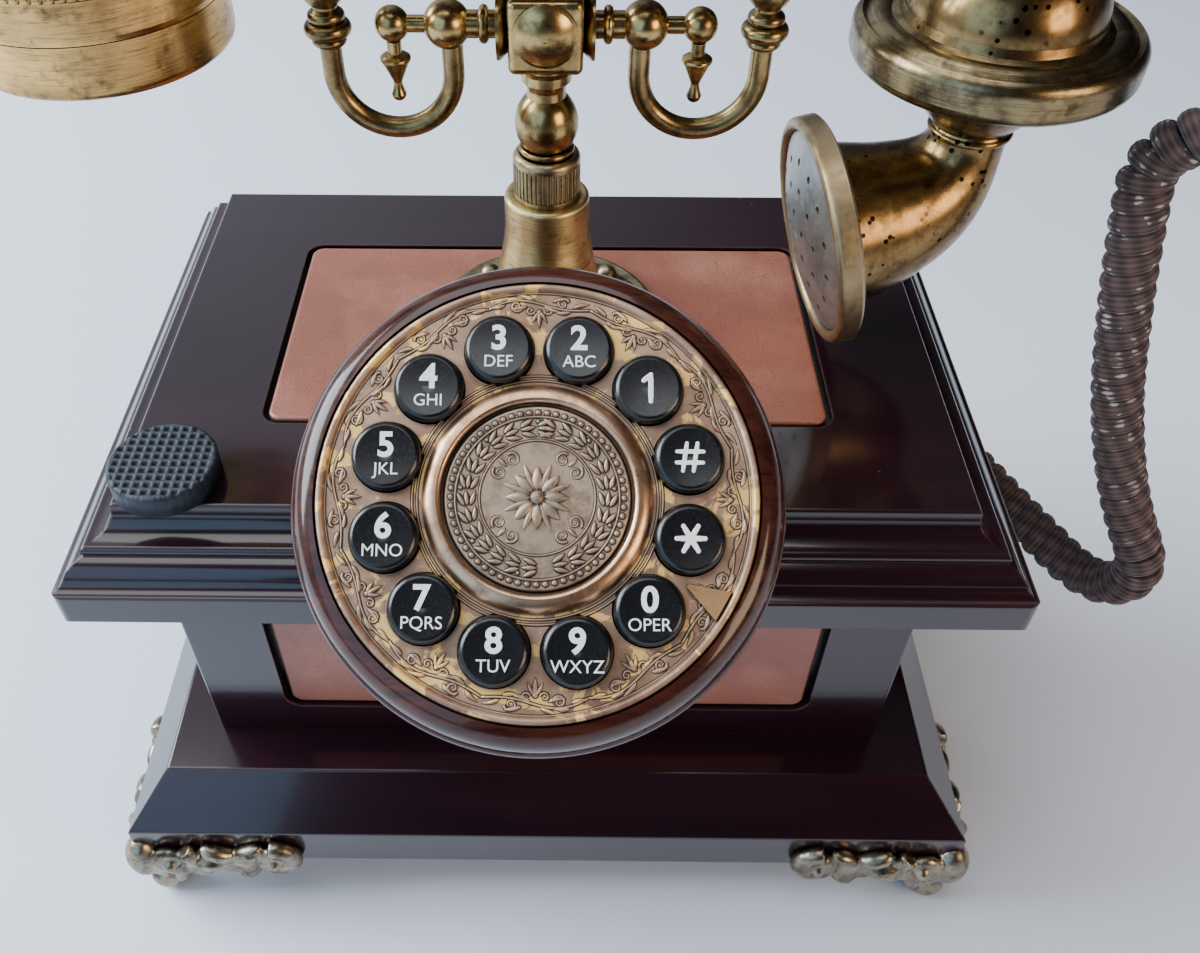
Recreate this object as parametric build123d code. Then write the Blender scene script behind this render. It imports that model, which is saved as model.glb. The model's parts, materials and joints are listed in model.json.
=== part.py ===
from build123d import *
import math
import os

# A desk telephone in the antique French style. Millimetres, +Z up, the dial towards -Y.
# Lengths below are measured from the centre of the wooden base at table level. Everything is
# written ORIGIN away from there, so that the row's origin is the bottom centre of its box.
ORIGIN = (5.19, -14.46, 0)

# Wooden base: half widths in x and y, and heights
LID_TOP_X, LID_TOP_Y = 90.0, 59.2
LID_TOP_Z = 140.0
MOULDING_OUT = 13.0
SLAB_TOP_Z, SLAB_BOTTOM_Z = 125.5, 116.8
BODY_X, BODY_Y = 87.0, 56.1
BODY_BOTTOM_Z = 47.8
WALL = 8.0
PLINTH_TOP_X, PLINTH_TOP_Y = 98.8, 67.9
BEVEL_OUT, BEVEL_BOTTOM_Z = 11.0, 33.6
PLINTH_BOTTOM_Z = 19.6
TOP_BOARD = 8.0
COVER_THICK = 2.0
PLINTH_LEDGE = 6.0
COVER_Z = BODY_BOTTOM_Z - TOP_BOARD - PLINTH_LEDGE - COVER_THICK
COVER_SCREW_X, COVER_SCREW_Y = 91.0, 60.0
BALLAST_Z = COVER_Z + COVER_THICK
JACK_X, JACK_Z = -40.0, 66.0

# Leather panels: half openings, groove round the leather, corner radius
TOP_LEATHER_X, TOP_LEATHER_Y = 63.7, 34.2
FRONT_LEATHER_X = 67.3
FRONT_LEATHER_LOW_Z, FRONT_LEATHER_HIGH_Z = 59.5, 105.0
LEATHER_GROOVE = 1.3
LEATHER_THICK = 3.0
LEATHER_CORNER = 3.0

# Corner feet
FOOT_ARM = 43.5
FOOT_THICK = 3.2
FOOT_LOW_Z, FOOT_HIGH_Z = 12.0, 30.0
BULB_R = 5.6

# Dial: centre of the plate's face and how far that face leans back from the vertical
DIAL_X, DIAL_Y, DIAL_Z = -0.9, -76.9, 162.4
DIAL_RISE_DEG = 55.3
PLATE_R, PLATE_THICK = 40.0, 1.6
HOUSING_R, HOUSING_DEEP = 46.0, 24.0
KEY_R, KEY_RING_R = 6.3, 28.2
KEY_HEIGHT = 2.9
KEY_FOOT_LOW = -4.4
BOARD_SCREW_R = 19.8
MEDALLION_R = 16.8
CENTRE_RING_IN_R, CENTRE_RING_OUT_R = 17.4, 20.8
KEY_NAMES = ("2", "3", "4", "5", "6", "7", "8", "9", "0", "star", "hash", "1")
KEY_FIRST_DEG = 75.0

# Stem and cradle, on one upright axis
STEM_X, STEM_Y = -0.4, 3.0
ROSETTE_R = 26.8
SLEEVE_R, SLEEVE_TOP_Z = 9.45, 175.7
COLLAR_R, COLLAR_TOP_Z = 7.35, 186.0
BORE_R = 5.2
STEM_TUBE_R, STEM_TUBE_TOP = BORE_R + 1.1, SLEEVE_TOP_Z - 30
STEM_HOLE_R = BORE_R + 1.2
POST_CLEARANCE = 0.06
PLUNGER_LOW_Z = 118.0
BALL_R, BALL_Z = 6.7, 193.5
BLOCK, BLOCK_Z = 14.8, 213.5
BIG_BALL_R, BIG_BALL_X = 4.8, 19.5
SMALL_BALL_R, SMALL_BALL_X = 3.5, 30.4
HOOK_IN_X, HOOK_OUT_X = 18.8, 43.2
HOOK_TUBE_R, HOOK_BEND_Z = 2.2, 203.5
HANDLE_Z = 238.4
HANDLE_GAP = 0.3
FORK_BAR_R, FORK_TIP_R = 2.3, 2.8

# Handset
END_X = 88.7
GRIP_R, GRIP_END_R = 9.0, 7.0
RECEIVER_R, RECEIVER_LOW_Z, RECEIVER_TOP_Z = 26.0, 209.5, 230.6
FLANGE_R, FLANGE_LOW_Z, FLANGE_TOP_Z = 28.3, 206.2, 216.0
DOME_R, SHOULDER_R, SHOULDER_UP, DOME_TOP_Z = 19.2, 16.8, 9.2, HANDLE_Z - 6.6
HORN_TOP_Z = 191.3
HORN_TURN_DEG, HORN_DROP_DEG = 7.2, 10.5
MIC_R, MIC_OUT, MIC_Z, MIC_DEEP = 25.2, 30.6, 168.2, 5.0

# Loose rubber pad on the lid
PAD_X, PAD_Y, PAD_R, PAD_THICK = -79.7, -51.2, 11.4, 5.4

# Curly cord: outer diameter of its coil, and the points its centre line passes inside of
COIL_D = 11.4
CORD_ROUTE = [
    (96.0, 6.0, 97.0), (109.0, 6.0, 97.0), (119.0, -7.0, 92.5), (126.5, -16.5, 89.0),
    (141.5, -32.5, 81.5), (147.5, -39.5, 96.0), (138.0, -31.4, 113.0), (130.0, -23.5, 137.0),
    (124.3, -18.5, 163.5), (121.2, -15.0, 182.5), (120.0, -12.6, 194.3), (126.1, -17.7, 203.0),
    (138.0, -18.9, 205.4), (145.6, -17.4, 214.8), (142.8, -14.2, 225.3), (134.9, -10.1, 230.0),
    (124.0, -7.0, 230.6),
]
RELIEF_LONG = 20.0
MIN_Z = (Align.CENTER, Align.CENTER, Align.MIN)


def outline(start, *steps):
    """Closed face in the XZ plane. A step is a corner, or the middle and end of an arc."""
    def point(p):
        return (p[0], 0, p[1])
    edges = []
    at = start
    for step in steps:
        if isinstance(step[0], tuple):
            edges.append(Edge.make_three_point_arc(point(at), point(step[0]), point(step[1])))
            at = step[1]
        else:
            edges.append(Edge.make_line(point(at), point(step)))
            at = step
    if math.dist(at, start) > 1e-6:
        edges.append(Edge.make_line(point(at), point(start)))
    return Face(Wire(edges))


def turned(start, *steps):
    """Solid turned about Z from an outline of (radius, height)."""
    return revolve(outline(start, *steps), Axis.Z, 360)


def cap(radius, low, high):
    """Arc of a shallow sphere from a rim at (radius, low) to the axis at high."""
    rise = high - low
    ball = (radius ** 2 + rise ** 2) / (2 * rise)
    half_turn = math.asin(radius / ball) / 2
    return ((ball * math.sin(half_turn), high - ball + ball * math.cos(half_turn)), (0, high))


def mitred(half_x, half_y, *steps):
    """Block with one moulding on all four sides: steps go down the moulding as (outset, height)."""
    def slab(half, length):
        first = steps[0]
        right = []
        for step in steps[1:]:
            if isinstance(step[0], tuple):
                right.append(((half + step[0][0], step[0][1]), (half + step[1][0], step[1][1])))
            else:
                right.append((half + step[0], step[1]))
        start = (half + first[0], first[1])
        last = right[-1]
        low = last[1] if isinstance(last[0], tuple) else last
        half_face = outline(start, *right, (0, low[1]), (0, start[1]))
        side = extrude(half_face, amount=length, dir=(0, 1, 0), both=True)
        return side + mirror(side, about=Plane.YZ)
    along_y = slab(half_x, half_y + 40)
    along_x = Rot(0, 0, 90) * slab(half_y, half_x + 40)
    return along_x & along_y


def box(low, high):
    """Block between two opposite corners."""
    size = [h - l for l, h in zip(low, high)]
    middle = [(h + l) / 2 for l, h in zip(low, high)]
    return Pos(*middle) * Box(*size)


def tube_along(wire, radius):
    """Round bar that follows a wire."""
    start = wire.position_at(0)
    section = Plane(origin=start, z_dir=wire.tangent_at(0)) * Circle(radius)
    return sweep(section, path=wire)


def padded_panel(half_x, half_y, thick):
    """Leather panel lying in XY, its back at z = 0."""
    panel = extrude(RectangleRounded(2 * half_x, 2 * half_y, LEATHER_CORNER), amount=thick)
    return fillet(panel.faces().sort_by(Axis.Z)[-1].edges(), 0.9)


def write(name, shape):
    """Write one node, moved to the row's origin."""
    moved = Pos(-ORIGIN[0], -ORIGIN[1], -ORIGIN[2]) * shape
    export_step(moved, f"parts/{name}.step")
    return moved


dial_normal = Vector(0, -math.cos(math.radians(DIAL_RISE_DEG)), math.sin(math.radians(DIAL_RISE_DEG)))
dial = Plane(origin=(DIAL_X, DIAL_Y, DIAL_Z), x_dir=(1, 0, 0), z_dir=dial_normal)
stem = Pos(STEM_X, STEM_Y, 0)


def make_lid():
    top = LID_TOP_Z
    body = mitred(
        LID_TOP_X, LID_TOP_Y,
        (-0.8, top), ((-0.23, top - 0.23), (0, top - 0.8)), (0.1, top - 2.8),
        ((1.5, top - 5.3), (5.2, top - 6.7)), (5.4, top - 6.7),
        ((6.3, top - 7.6), (6.0, top - 8.9)), (6.7, top - 9.1),
        ((8.5, top - 10.0), (9.9, top - 11.8)), ((10.9, top - 13.3), (12.3, top - 14.0)),
        (12.3, SLAB_TOP_Z), ((12.8, SLAB_TOP_Z - 0.2), (MOULDING_OUT, SLAB_TOP_Z - 0.7)),
        (MOULDING_OUT, SLAB_BOTTOM_Z + 0.6), (MOULDING_OUT - 0.6, SLAB_BOTTOM_Z),
    )
    round_corners = extrude(
        RectangleRounded(2 * (LID_TOP_X + MOULDING_OUT), 2 * (LID_TOP_Y + MOULDING_OUT), 2.5), amount=200)
    body = body & round_corners
    recess = extrude(
        RectangleRounded(2 * TOP_LEATHER_X, 2 * TOP_LEATHER_Y, LEATHER_CORNER + LEATHER_GROOVE), amount=20)
    body = body - Pos(0, 0, top - LEATHER_THICK) * recess
    inside_x, inside_y = BODY_X - WALL, BODY_Y - WALL
    body = body - box((-inside_x, -inside_y, SLAB_BOTTOM_Z - 1), (inside_x, inside_y, top - TOP_BOARD))
    return body - stem * Pos(0, 0, top - 10) * Cylinder(STEM_HOLE_R, 40)


def make_body():
    outer = box((-BODY_X, -BODY_Y, BODY_BOTTOM_Z), (BODY_X, BODY_Y, SLAB_BOTTOM_Z))
    outer = fillet(outer.edges().filter_by(Axis.Z), 1.0)
    inside_x, inside_y = BODY_X - WALL, BODY_Y - WALL
    inner = box((-inside_x, -inside_y, BODY_BOTTOM_Z - 1), (inside_x, inside_y, SLAB_BOTTOM_Z + 1))
    middle_z = (FRONT_LEATHER_LOW_Z + FRONT_LEATHER_HIGH_Z) / 2
    high = FRONT_LEATHER_HIGH_Z - FRONT_LEATHER_LOW_Z
    opening = RectangleRounded(2 * FRONT_LEATHER_X, high, LEATHER_CORNER + LEATHER_GROOVE)
    front = Plane(origin=(0, -BODY_Y - 1, middle_z), x_dir=(1, 0, 0), z_dir=(0, 1, 0))
    recess = front * extrude(opening, amount=LEATHER_THICK + 2.2)
    gland_x, gland_y, gland_z = CORD_ROUTE[0]
    gland_hole = Pos(BODY_X - WALL / 2, gland_y, gland_z) * Rot(0, 90, 0) * Cylinder(5.0, WALL + 4)
    jack_hole = box((JACK_X - 7.5, BODY_Y - WALL - 2, JACK_Z - 6.5), (JACK_X + 7.5, BODY_Y + 2, JACK_Z + 6.5))
    return outer - inner - recess - gland_hole - jack_hole


def make_plinth():
    body = mitred(
        PLINTH_TOP_X, PLINTH_TOP_Y,
        (-0.6, BODY_BOTTOM_Z), ((-0.1, BODY_BOTTOM_Z - 0.1), (0.3, BODY_BOTTOM_Z - 0.4)),
        (BEVEL_OUT - 0.3, BEVEL_BOTTOM_Z + 0.4),
        ((BEVEL_OUT - 0.06, BEVEL_BOTTOM_Z), (BEVEL_OUT, BEVEL_BOTTOM_Z - 0.5)),
        (BEVEL_OUT, PLINTH_BOTTOM_Z + 0.5), (BEVEL_OUT - 0.5, PLINTH_BOTTOM_Z),
    )
    under_x, under_y = PLINTH_TOP_X, PLINTH_TOP_Y
    under = box((-under_x, -under_y, 0), (under_x, under_y, COVER_Z + COVER_THICK))
    hole_x, hole_y = BODY_X - WALL - PLINTH_LEDGE, BODY_Y - WALL - PLINTH_LEDGE
    through = box((-hole_x, -hole_y, 0), (hole_x, hole_y, BODY_BOTTOM_Z + 1))
    return body - under - through


def make_top_leather():
    panel = padded_panel(TOP_LEATHER_X - LEATHER_GROOVE, TOP_LEATHER_Y - LEATHER_GROOVE, LEATHER_THICK + 0.2)
    panel = Pos(0, 0, LID_TOP_Z - LEATHER_THICK) * panel
    return panel - stem * Pos(0, 0, LID_TOP_Z) * Cylinder(STEM_HOLE_R, 40)


def make_front_leather():
    middle_z = (FRONT_LEATHER_LOW_Z + FRONT_LEATHER_HIGH_Z) / 2
    half_high = (FRONT_LEATHER_HIGH_Z - FRONT_LEATHER_LOW_Z) / 2
    back_y = -BODY_Y + LEATHER_THICK + 1.2
    place = Plane(origin=(0, back_y, middle_z), x_dir=(1, 0, 0), z_dir=(0, -1, 0))
    return place * padded_panel(FRONT_LEATHER_X - LEATHER_GROOVE, half_high - 0.4, LEATHER_THICK)


def make_bottom_cover():
    plate = box(
        (-PLINTH_TOP_X + 1, -PLINTH_TOP_Y + 1, 0), (PLINTH_TOP_X - 1, PLINTH_TOP_Y - 1, COVER_THICK))
    plate = Pos(0, 0, COVER_Z) * plate
    for x, y in cover_screw_places():
        plate -= Pos(x, y, COVER_Z) * Cylinder(1.9, 10)
    return plate


def cover_screw_places():
    return [(sx * COVER_SCREW_X, sy * COVER_SCREW_Y) for sx in (-1, 1) for sy in (-1, 1)]


def make_cover_screws():
    shank_top = COVER_Z + 11.0
    screw = turned(
        (0, COVER_Z - 2.0), (1.6, COVER_Z - 2.0), ((2.8, COVER_Z - 1.3), (3.2, COVER_Z)),
        (1.7, COVER_Z), (1.7, shank_top - 2), (0.3, shank_top), (0, shank_top))
    slot = box((-4, -0.4, COVER_Z - 2.5), (4, 0.4, COVER_Z - 1.2))
    return Compound([Pos(x, y, 0) * (screw - slot) for x, y in cover_screw_places()])


def cover_screw_holes():
    holes = [Pos(x, y, COVER_Z) * Cylinder(1.7, 24) for x, y in cover_screw_places()]
    return Compound(holes)


def make_foot():
    """Front right corner foot: two scrolled arms along the plinth and a bulb under the corner."""
    x0, y0 = PLINTH_TOP_X + BEVEL_OUT, -(PLINTH_TOP_Y + BEVEL_OUT)
    middle_z = (FOOT_LOW_Z + FOOT_HIGH_Z) / 2
    high = FOOT_HIGH_Z - FOOT_LOW_Z

    def arm(length):
        """Arm along -X with its back at y = 0 and its outer face towards -Y."""
        band = box((-length + 6, -FOOT_THICK, middle_z - 4.5), (2.0, 0, middle_z + 4.5))
        front = Plane(origin=(0, 0, 0), x_dir=(1, 0, 0), z_dir=(0, -1, 0))

        def roll(x, z, radius, thick):
            disc = front * Pos(x, z, 0) * extrude(Circle(radius), amount=thick)
            return fillet(disc.faces().sort_by(Axis.Y)[0].edges(), 0.8)
        band += roll(-length + 6.5, middle_z + 1.0, 6.5, FOOT_THICK + 1.2)
        band += roll(-length + 17.0, middle_z - 3.5, 4.6, FOOT_THICK + 0.4)
        band += roll(-length + 25.0, middle_z + 2.0, 6.0, FOOT_THICK + 0.8)
        band += roll(-8.0, middle_z, high / 2, FOOT_THICK + 1.0)
        return band
    along_x = Pos(x0, y0, 0) * arm(FOOT_ARM)
    turn = mirror(arm(FOOT_ARM - 4), about=Plane.XZ)
    along_y = Pos(x0, y0, 0) * Rot(0, 0, -90) * turn
    under = box((x0 - 16, y0 - 1, PLINTH_BOTTOM_Z - 3.0), (x0 + 1, y0 + 16, PLINTH_BOTTOM_Z))
    bulb = turned(
        (0, 0), (3.4, 0), ((BULB_R, BULB_R), (3.6, 10.4)), (4.6, 12.0), (4.6, PLINTH_BOTTOM_Z - 1),
        (0, PLINTH_BOTTOM_Z - 1))
    bulb = Pos(x0 - 3.5, y0 + 3.5, 0) * bulb
    block = box((x0 - 16, y0 + 0.001, PLINTH_BOTTOM_Z), (x0 - 0.001, y0 + 16, 60))
    return (along_x + along_y + under + bulb) - block


def make_feet():
    front_right = make_foot()
    front_left = mirror(front_right, about=Plane.YZ)
    return Compound([
        front_right, front_left,
        mirror(front_right, about=Plane.XZ), mirror(front_left, about=Plane.XZ)])


def make_ballast():
    return box((-60, -30, BALLAST_Z), (60, 34, BALLAST_Z + 5))


def make_circuit_board():
    board = box((-55, 38, 78), (55, 39.6, 110))
    chips = [box((x - w / 2, 35.5, z), (x + w / 2, 38, z + h)) for x, w, z, h in (
        (-38, 16, 84, 8), (-12, 22, 92, 8), (20, 12, 84, 12), (40, 14, 90, 10))]
    rails = box((-55, 39.6, 90), (55, BODY_Y - WALL, 93))
    return board + chips + rails


def make_ringer():
    case = Pos(38, 0, BALLAST_Z + 5) * extrude(Circle(19), amount=9)
    case = fillet(case.faces().sort_by(Axis.Z)[-1].edges(), 1.5)
    return case - Pos(38, 0, BALLAST_Z + 12) * Cylinder(2.2, 8)


def make_line_jack():
    x0, z0 = JACK_X, JACK_Z
    case = box((x0 - 7.4, BODY_Y - 16, z0 - 6.4), (x0 + 7.4, BODY_Y + 0.6, z0 + 6.4))
    rim = box((x0 - 9.5, BODY_Y, z0 - 8.5), (x0 + 9.5, BODY_Y + 1.6, z0 + 8.5))
    socket = box((x0 - 5.0, BODY_Y - 12, z0 - 3.4), (x0 + 5.0, BODY_Y + 3, z0 + 3.4))
    latch = box((x0 - 1.8, BODY_Y - 12, z0 - 5.2), (x0 + 1.8, BODY_Y + 3, z0 - 3.0))
    return case + rim - socket - latch


def make_cord_gland():
    x, y, z = CORD_ROUTE[0]
    inner, face = BODY_X - WALL - 3, BODY_X
    body = turned(
        (1.6, inner - x), (6.4, inner - x), (6.4, face - WALL - x), (4.9, face - WALL - x),
        (4.9, face - x), (8.6, face - x), (8.6, face + 1.6 - x),
        ((7.8, face + 3.6 - x), (6.6, face + 4.6 - x)), (6.4, -0.02), (5.7, 0), (1.6, 0))
    return Pos(x, y, z) * Rot(0, 90, 0) * body


def make_stem_rosette():
    base = LID_TOP_Z + 0.2
    plate = turned(
        (STEM_HOLE_R, base), (ROSETTE_R, base), (ROSETTE_R, base + 1.4),
        ((ROSETTE_R - 0.5, base + 2.3), (ROSETTE_R - 1.6, base + 2.5)), (ROSETTE_R - 3.2, base + 2.4),
        ((20.0, base + 3.4), (15.5, base + 5.6)), (13.4, base + 6.6), (13.4, base + 8.4),
        (STEM_HOLE_R, base + 8.4))
    petal = Pos(ROSETTE_R - 6.2, 0, base + 2.9) * Sphere(2.6)
    for k in range(16):
        plate += Rot(0, 0, k * 360 / 16) * petal
    return stem * plate


def make_stem_sleeve():
    low = LID_TOP_Z + 8.6
    sleeve = turned(
        (STEM_HOLE_R, low), (12.4, low), (12.4, low + 1.2), ((11.2, low + 8.0), (9.8, low + 15.5)),
        (SLEEVE_R, low + 19.0), (SLEEVE_R, SLEEVE_TOP_Z - 0.9), ((SLEEVE_R - 0.3, SLEEVE_TOP_Z - 0.3),
        (SLEEVE_R - 0.9, SLEEVE_TOP_Z)), (STEM_HOLE_R, SLEEVE_TOP_Z))
    return stem * sleeve


def make_stem_collar():
    low, high = SLEEVE_TOP_Z, COLLAR_TOP_Z
    body = turned(
        (BORE_R, STEM_TUBE_TOP), (STEM_TUBE_R, STEM_TUBE_TOP), (STEM_TUBE_R, low), (COLLAR_R, low),
        (COLLAR_R, high - 1.6), ((COLLAR_R - 0.4, high - 0.5), (COLLAR_R - 1.2, high)), (BORE_R, high))
    flute = Pos(COLLAR_R + 0.25, 0, low + 4.7) * Cylinder(0.5, 7.0)
    for k in range(44):
        body -= Rot(0, 0, k * 360 / 44) * flute
    return stem * body


def make_stem_nut():
    """Clamps the stem's tube to the lid from inside."""
    low, high = LID_TOP_Z - TOP_BOARD - 10, LID_TOP_Z - TOP_BOARD
    nut = extrude(RegularPolygon(11, 6), amount=4)
    nut = Pos(0, 0, high - 4) * nut
    pipe = Pos(0, 0, (low + STEM_TUBE_TOP) / 2) * Cylinder(STEM_TUBE_R, STEM_TUBE_TOP - low)
    return stem * (nut + pipe - Pos(0, 0, 140) * Cylinder(BORE_R, 100))


def make_hook_switch():
    """Switch under the plunger, hung from a strap screwed inside the lid."""
    top = PLUNGER_LOW_Z - 0.4
    case = Pos(STEM_X, STEM_Y, 0) * box((-11, -5.5, top - 17), (11, 5.5, top - 3))
    lever = Pos(STEM_X, STEM_Y, 0) * box((-8, -2.5, top - 3), (8, 2.5, top))
    strap = Pos(STEM_X, STEM_Y, 0) * (
        box((11, -5.5, top - 17), (13, 5.5, LID_TOP_Z - TOP_BOARD))
        + box((11, -5.5, LID_TOP_Z - TOP_BOARD - 2), (26, 5.5, LID_TOP_Z - TOP_BOARD)))
    return case + lever + strap


def make_dial_housing():
    back = -HOUSING_DEEP
    bowl = turned(
        (PLATE_R + 0.4, 0.7), ((43.6, -1.0), (45.0, -5.0)), (45.0, -5.8), ((46.0, -6.6), (HOUSING_R, -8.0)),
        (HOUSING_R, -9.5), ((45.6, -10.5), (44.6, -10.9)), ((42.5, -18.5), (34.0, back)), (0, back),
        (0, back + 4), (31.0, back + 4), (37.4, -14.0), (37.4, -PLATE_THICK), (PLATE_R + 0.4, -PLATE_THICK))
    return dial * bowl


def make_dial_plate():
    plate = turned(
        (MEDALLION_R + 0.3, -PLATE_THICK), (PLATE_R, -PLATE_THICK), (PLATE_R, 0.4),
        ((PLATE_R - 0.6, 0.9), (PLATE_R - 1.3, 0.5)), (PLATE_R - 1.6, 0), (MEDALLION_R + 0.3, 0))
    for k in range(12):
        plate -= Rot(0, 0, KEY_FIRST_DEG + 30 * k) * Pos(KEY_RING_R, 0, 0) * Cylinder(KEY_R + 0.3, 10)
    return dial * plate


def make_dial_centre_ring():
    return dial * turned(
        (CENTRE_RING_IN_R, 0), (CENTRE_RING_OUT_R, 0), (CENTRE_RING_OUT_R, 0.4),
        ((19.6, 1.5), (18.2, 1.9)), ((17.7, 1.7), (CENTRE_RING_IN_R, 1.2)))


def make_medallion():
    r = MEDALLION_R
    return dial * turned(
        (0, -PLATE_THICK - 1.4), (r + 1.6, -PLATE_THICK - 1.4), (r + 1.6, -PLATE_THICK), (r, -PLATE_THICK),
        (r, 0.5), ((r - 0.2, 0.9), (r - 0.7, 1.0)), (0, 1.3))


def make_finger_stop():
    """Thin tapered tab from between two keys out to the plate's rim."""
    edge = Polyline((31.0, -0.3), (31.0, 0.3), (38.2, 2.9), (38.2, -2.9), close=True)
    return dial * Rot(0, 0, -30) * extrude(make_face(edge), amount=0.9)


def make_keypad_board():
    board = extrude(Circle(36.5), amount=1.6) - Cylinder(3, 8)
    for k in range(3):
        board -= Rot(0, 0, 30 + 120 * k) * Pos(BOARD_SCREW_R, 0, 0) * Cylinder(1.4, 8)
    return dial * Pos(0, 0, -9.0) * board


def make_keypad_mat():
    mat = turned((21.8, -7.4), (35.8, -7.4), (35.8, -6.6), (21.8, -6.6))
    for k in range(12):
        mat += Rot(0, 0, KEY_FIRST_DEG + 30 * k) * Pos(KEY_RING_R, 0, -6.6) * Cone(4.4, 3.0, 0.7, align=MIN_Z)
    return dial * mat


def make_keypad_screws():
    """Three screws hold the circuit board to the back of the plate."""
    screw = turned(
        (0, -11.0), (2.6, -11.0), (2.6, -9.0), (1.25, -9.0), (1.25, -PLATE_THICK), (0, -PLATE_THICK))
    return dial * Compound([Rot(0, 0, 30 + 120 * k) * Pos(BOARD_SCREW_R, 0, 0) * screw for k in range(3)])


def make_dial_bracket():
    """Wooden wedge between the lid's front edge and the back of the dial."""
    low_y, high_y = -LID_TOP_Y + 2.2, -TOP_LEATHER_Y - 1.6
    wedge = Pos(DIAL_X, 0, 0) * box((-17, low_y, LID_TOP_Z), (17, high_y, LID_TOP_Z + 40))
    wedge = fillet(wedge.edges().filter_by(Axis.Z), 2.5)
    above = dial * Pos(0, 0, -HOUSING_DEEP) * Pos(0, 0, 50) * Box(160, 160, 100)
    return wedge - above


def make_key(name):
    """Round key with a bevelled rim, a skirt under the plate and a foot on the mat."""
    r, high = KEY_R, KEY_HEIGHT
    body = turned(
        (0, KEY_FOOT_LOW), (2.6, KEY_FOOT_LOW), (2.6, -3.2), (r + 0.9, -3.2), (r + 0.9, -PLATE_THICK - 0.3),
        (r, -PLATE_THICK - 0.3), (r, high - 1.1), ((r - 0.35, high - 0.5), (r - 0.95, high - 0.1)),
        cap(r - 0.95, high - 0.1, high - 0.3))
    angle = math.radians(KEY_FIRST_DEG + 30 * KEY_NAMES.index(name))
    return dial * Pos(KEY_RING_R * math.cos(angle), KEY_RING_R * math.sin(angle), 0) * body


def make_cradle_post():
    """Plunger, collar bead, ball and neck below the block."""
    post_r = BORE_R - POST_CLEARANCE
    return stem * turned(
        (0, PLUNGER_LOW_Z), (2.4, PLUNGER_LOW_Z), (2.4, COLLAR_TOP_Z - 24), (post_r, COLLAR_TOP_Z - 23),
        (post_r, COLLAR_TOP_Z + 0.3), (5.7, COLLAR_TOP_Z + 0.3),
        ((6.0, COLLAR_TOP_Z + 0.9), (5.0, COLLAR_TOP_Z + 1.5)),
        ((BALL_R, BALL_Z), (4.1, BALL_Z + 5.3)), (4.0, 200.4), ((4.5, 201.6), (5.2, 202.4)), (5.2, 204.2),
        (4.6, 204.9), (4.6, BLOCK_Z - BLOCK / 2), (0, BLOCK_Z - BLOCK / 2))


def make_cradle_block():
    block = stem * Pos(0, 0, BLOCK_Z) * Box(BLOCK, BLOCK, BLOCK)
    block = fillet(block.edges(), 1.5)
    return block


def make_cradle_bosses():
    """Domed round bosses on the block's front and back, and a button finial on its top."""
    boss = turned((0, 0), (6.3, 0), (6.3, 0.5), (5.7, 0.7), cap(5.7, 0.7, 2.6))
    front = Plane(origin=(STEM_X, STEM_Y - BLOCK / 2, BLOCK_Z + 0.9), x_dir=(1, 0, 0), z_dir=(0, -1, 0))
    back = Plane(origin=(STEM_X, STEM_Y + BLOCK / 2, BLOCK_Z + 0.9), x_dir=(-1, 0, 0), z_dir=(0, 1, 0))
    top_z = BLOCK_Z + BLOCK / 2
    button = turned((0, 0), (5.0, 0), (5.0, 0.8), (2.6, 1.6), (2.9, 3.0), cap(2.9, 3.0, 5.6))
    return Compound([front * boss, back * boss, stem * Pos(0, 0, top_z) * button])


def make_arm(side):
    """Flared washer, rod with a ring, big ball, thin rod and small ball, all on one axis."""
    x0 = BLOCK / 2
    washer = turned((0, x0), (5.2, x0), (6.8, x0 + 1.7), (6.8, x0 + 2.3), (0, x0 + 2.3))
    big, small = BIG_BALL_X, SMALL_BALL_X
    reach = math.sqrt(BIG_BALL_R ** 2 - 2.7 ** 2)
    far = math.sqrt(BIG_BALL_R ** 2 - 1.7 ** 2)
    near = math.sqrt(SMALL_BALL_R ** 2 - 1.7 ** 2)
    rod = turned(
        (0, x0 + 2.3), (2.7, x0 + 2.3), (2.7, 11.3), ((3.7, 12.3), (2.7, 13.3)), (2.7, big - reach),
        ((BIG_BALL_R, big), (1.7, big + far)), (1.7, small - near),
        ((SMALL_BALL_R, small), (0, small + SMALL_BALL_R)),
        (0, x0 + 2.3))
    return Pos(STEM_X, STEM_Y, BLOCK_Z) * Rot(0, side * 90, 0) * (washer + rod)


def make_finials():
    top = BLOCK_Z - SMALL_BALL_R + 0.1
    drop = turned(
        (0, top), (1.5, top), (1.4, 207.6), (2.4, 207.2), (3.0, 206.8), ((3.1, 206.2), (2.8, 205.8)),
        ((1.7, 203.4), (0.85, 201.4)), ((1.1, 200.2), (1.55, 198.9)), cap(1.55, 198.9, 197.4))
    ball = Pos(0, 0, BLOCK_Z) * Sphere(SMALL_BALL_R)
    drop = drop - ball
    return Compound([Pos(STEM_X + s * SMALL_BALL_X, STEM_Y, 0) * drop for s in (-1, 1)])


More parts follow.
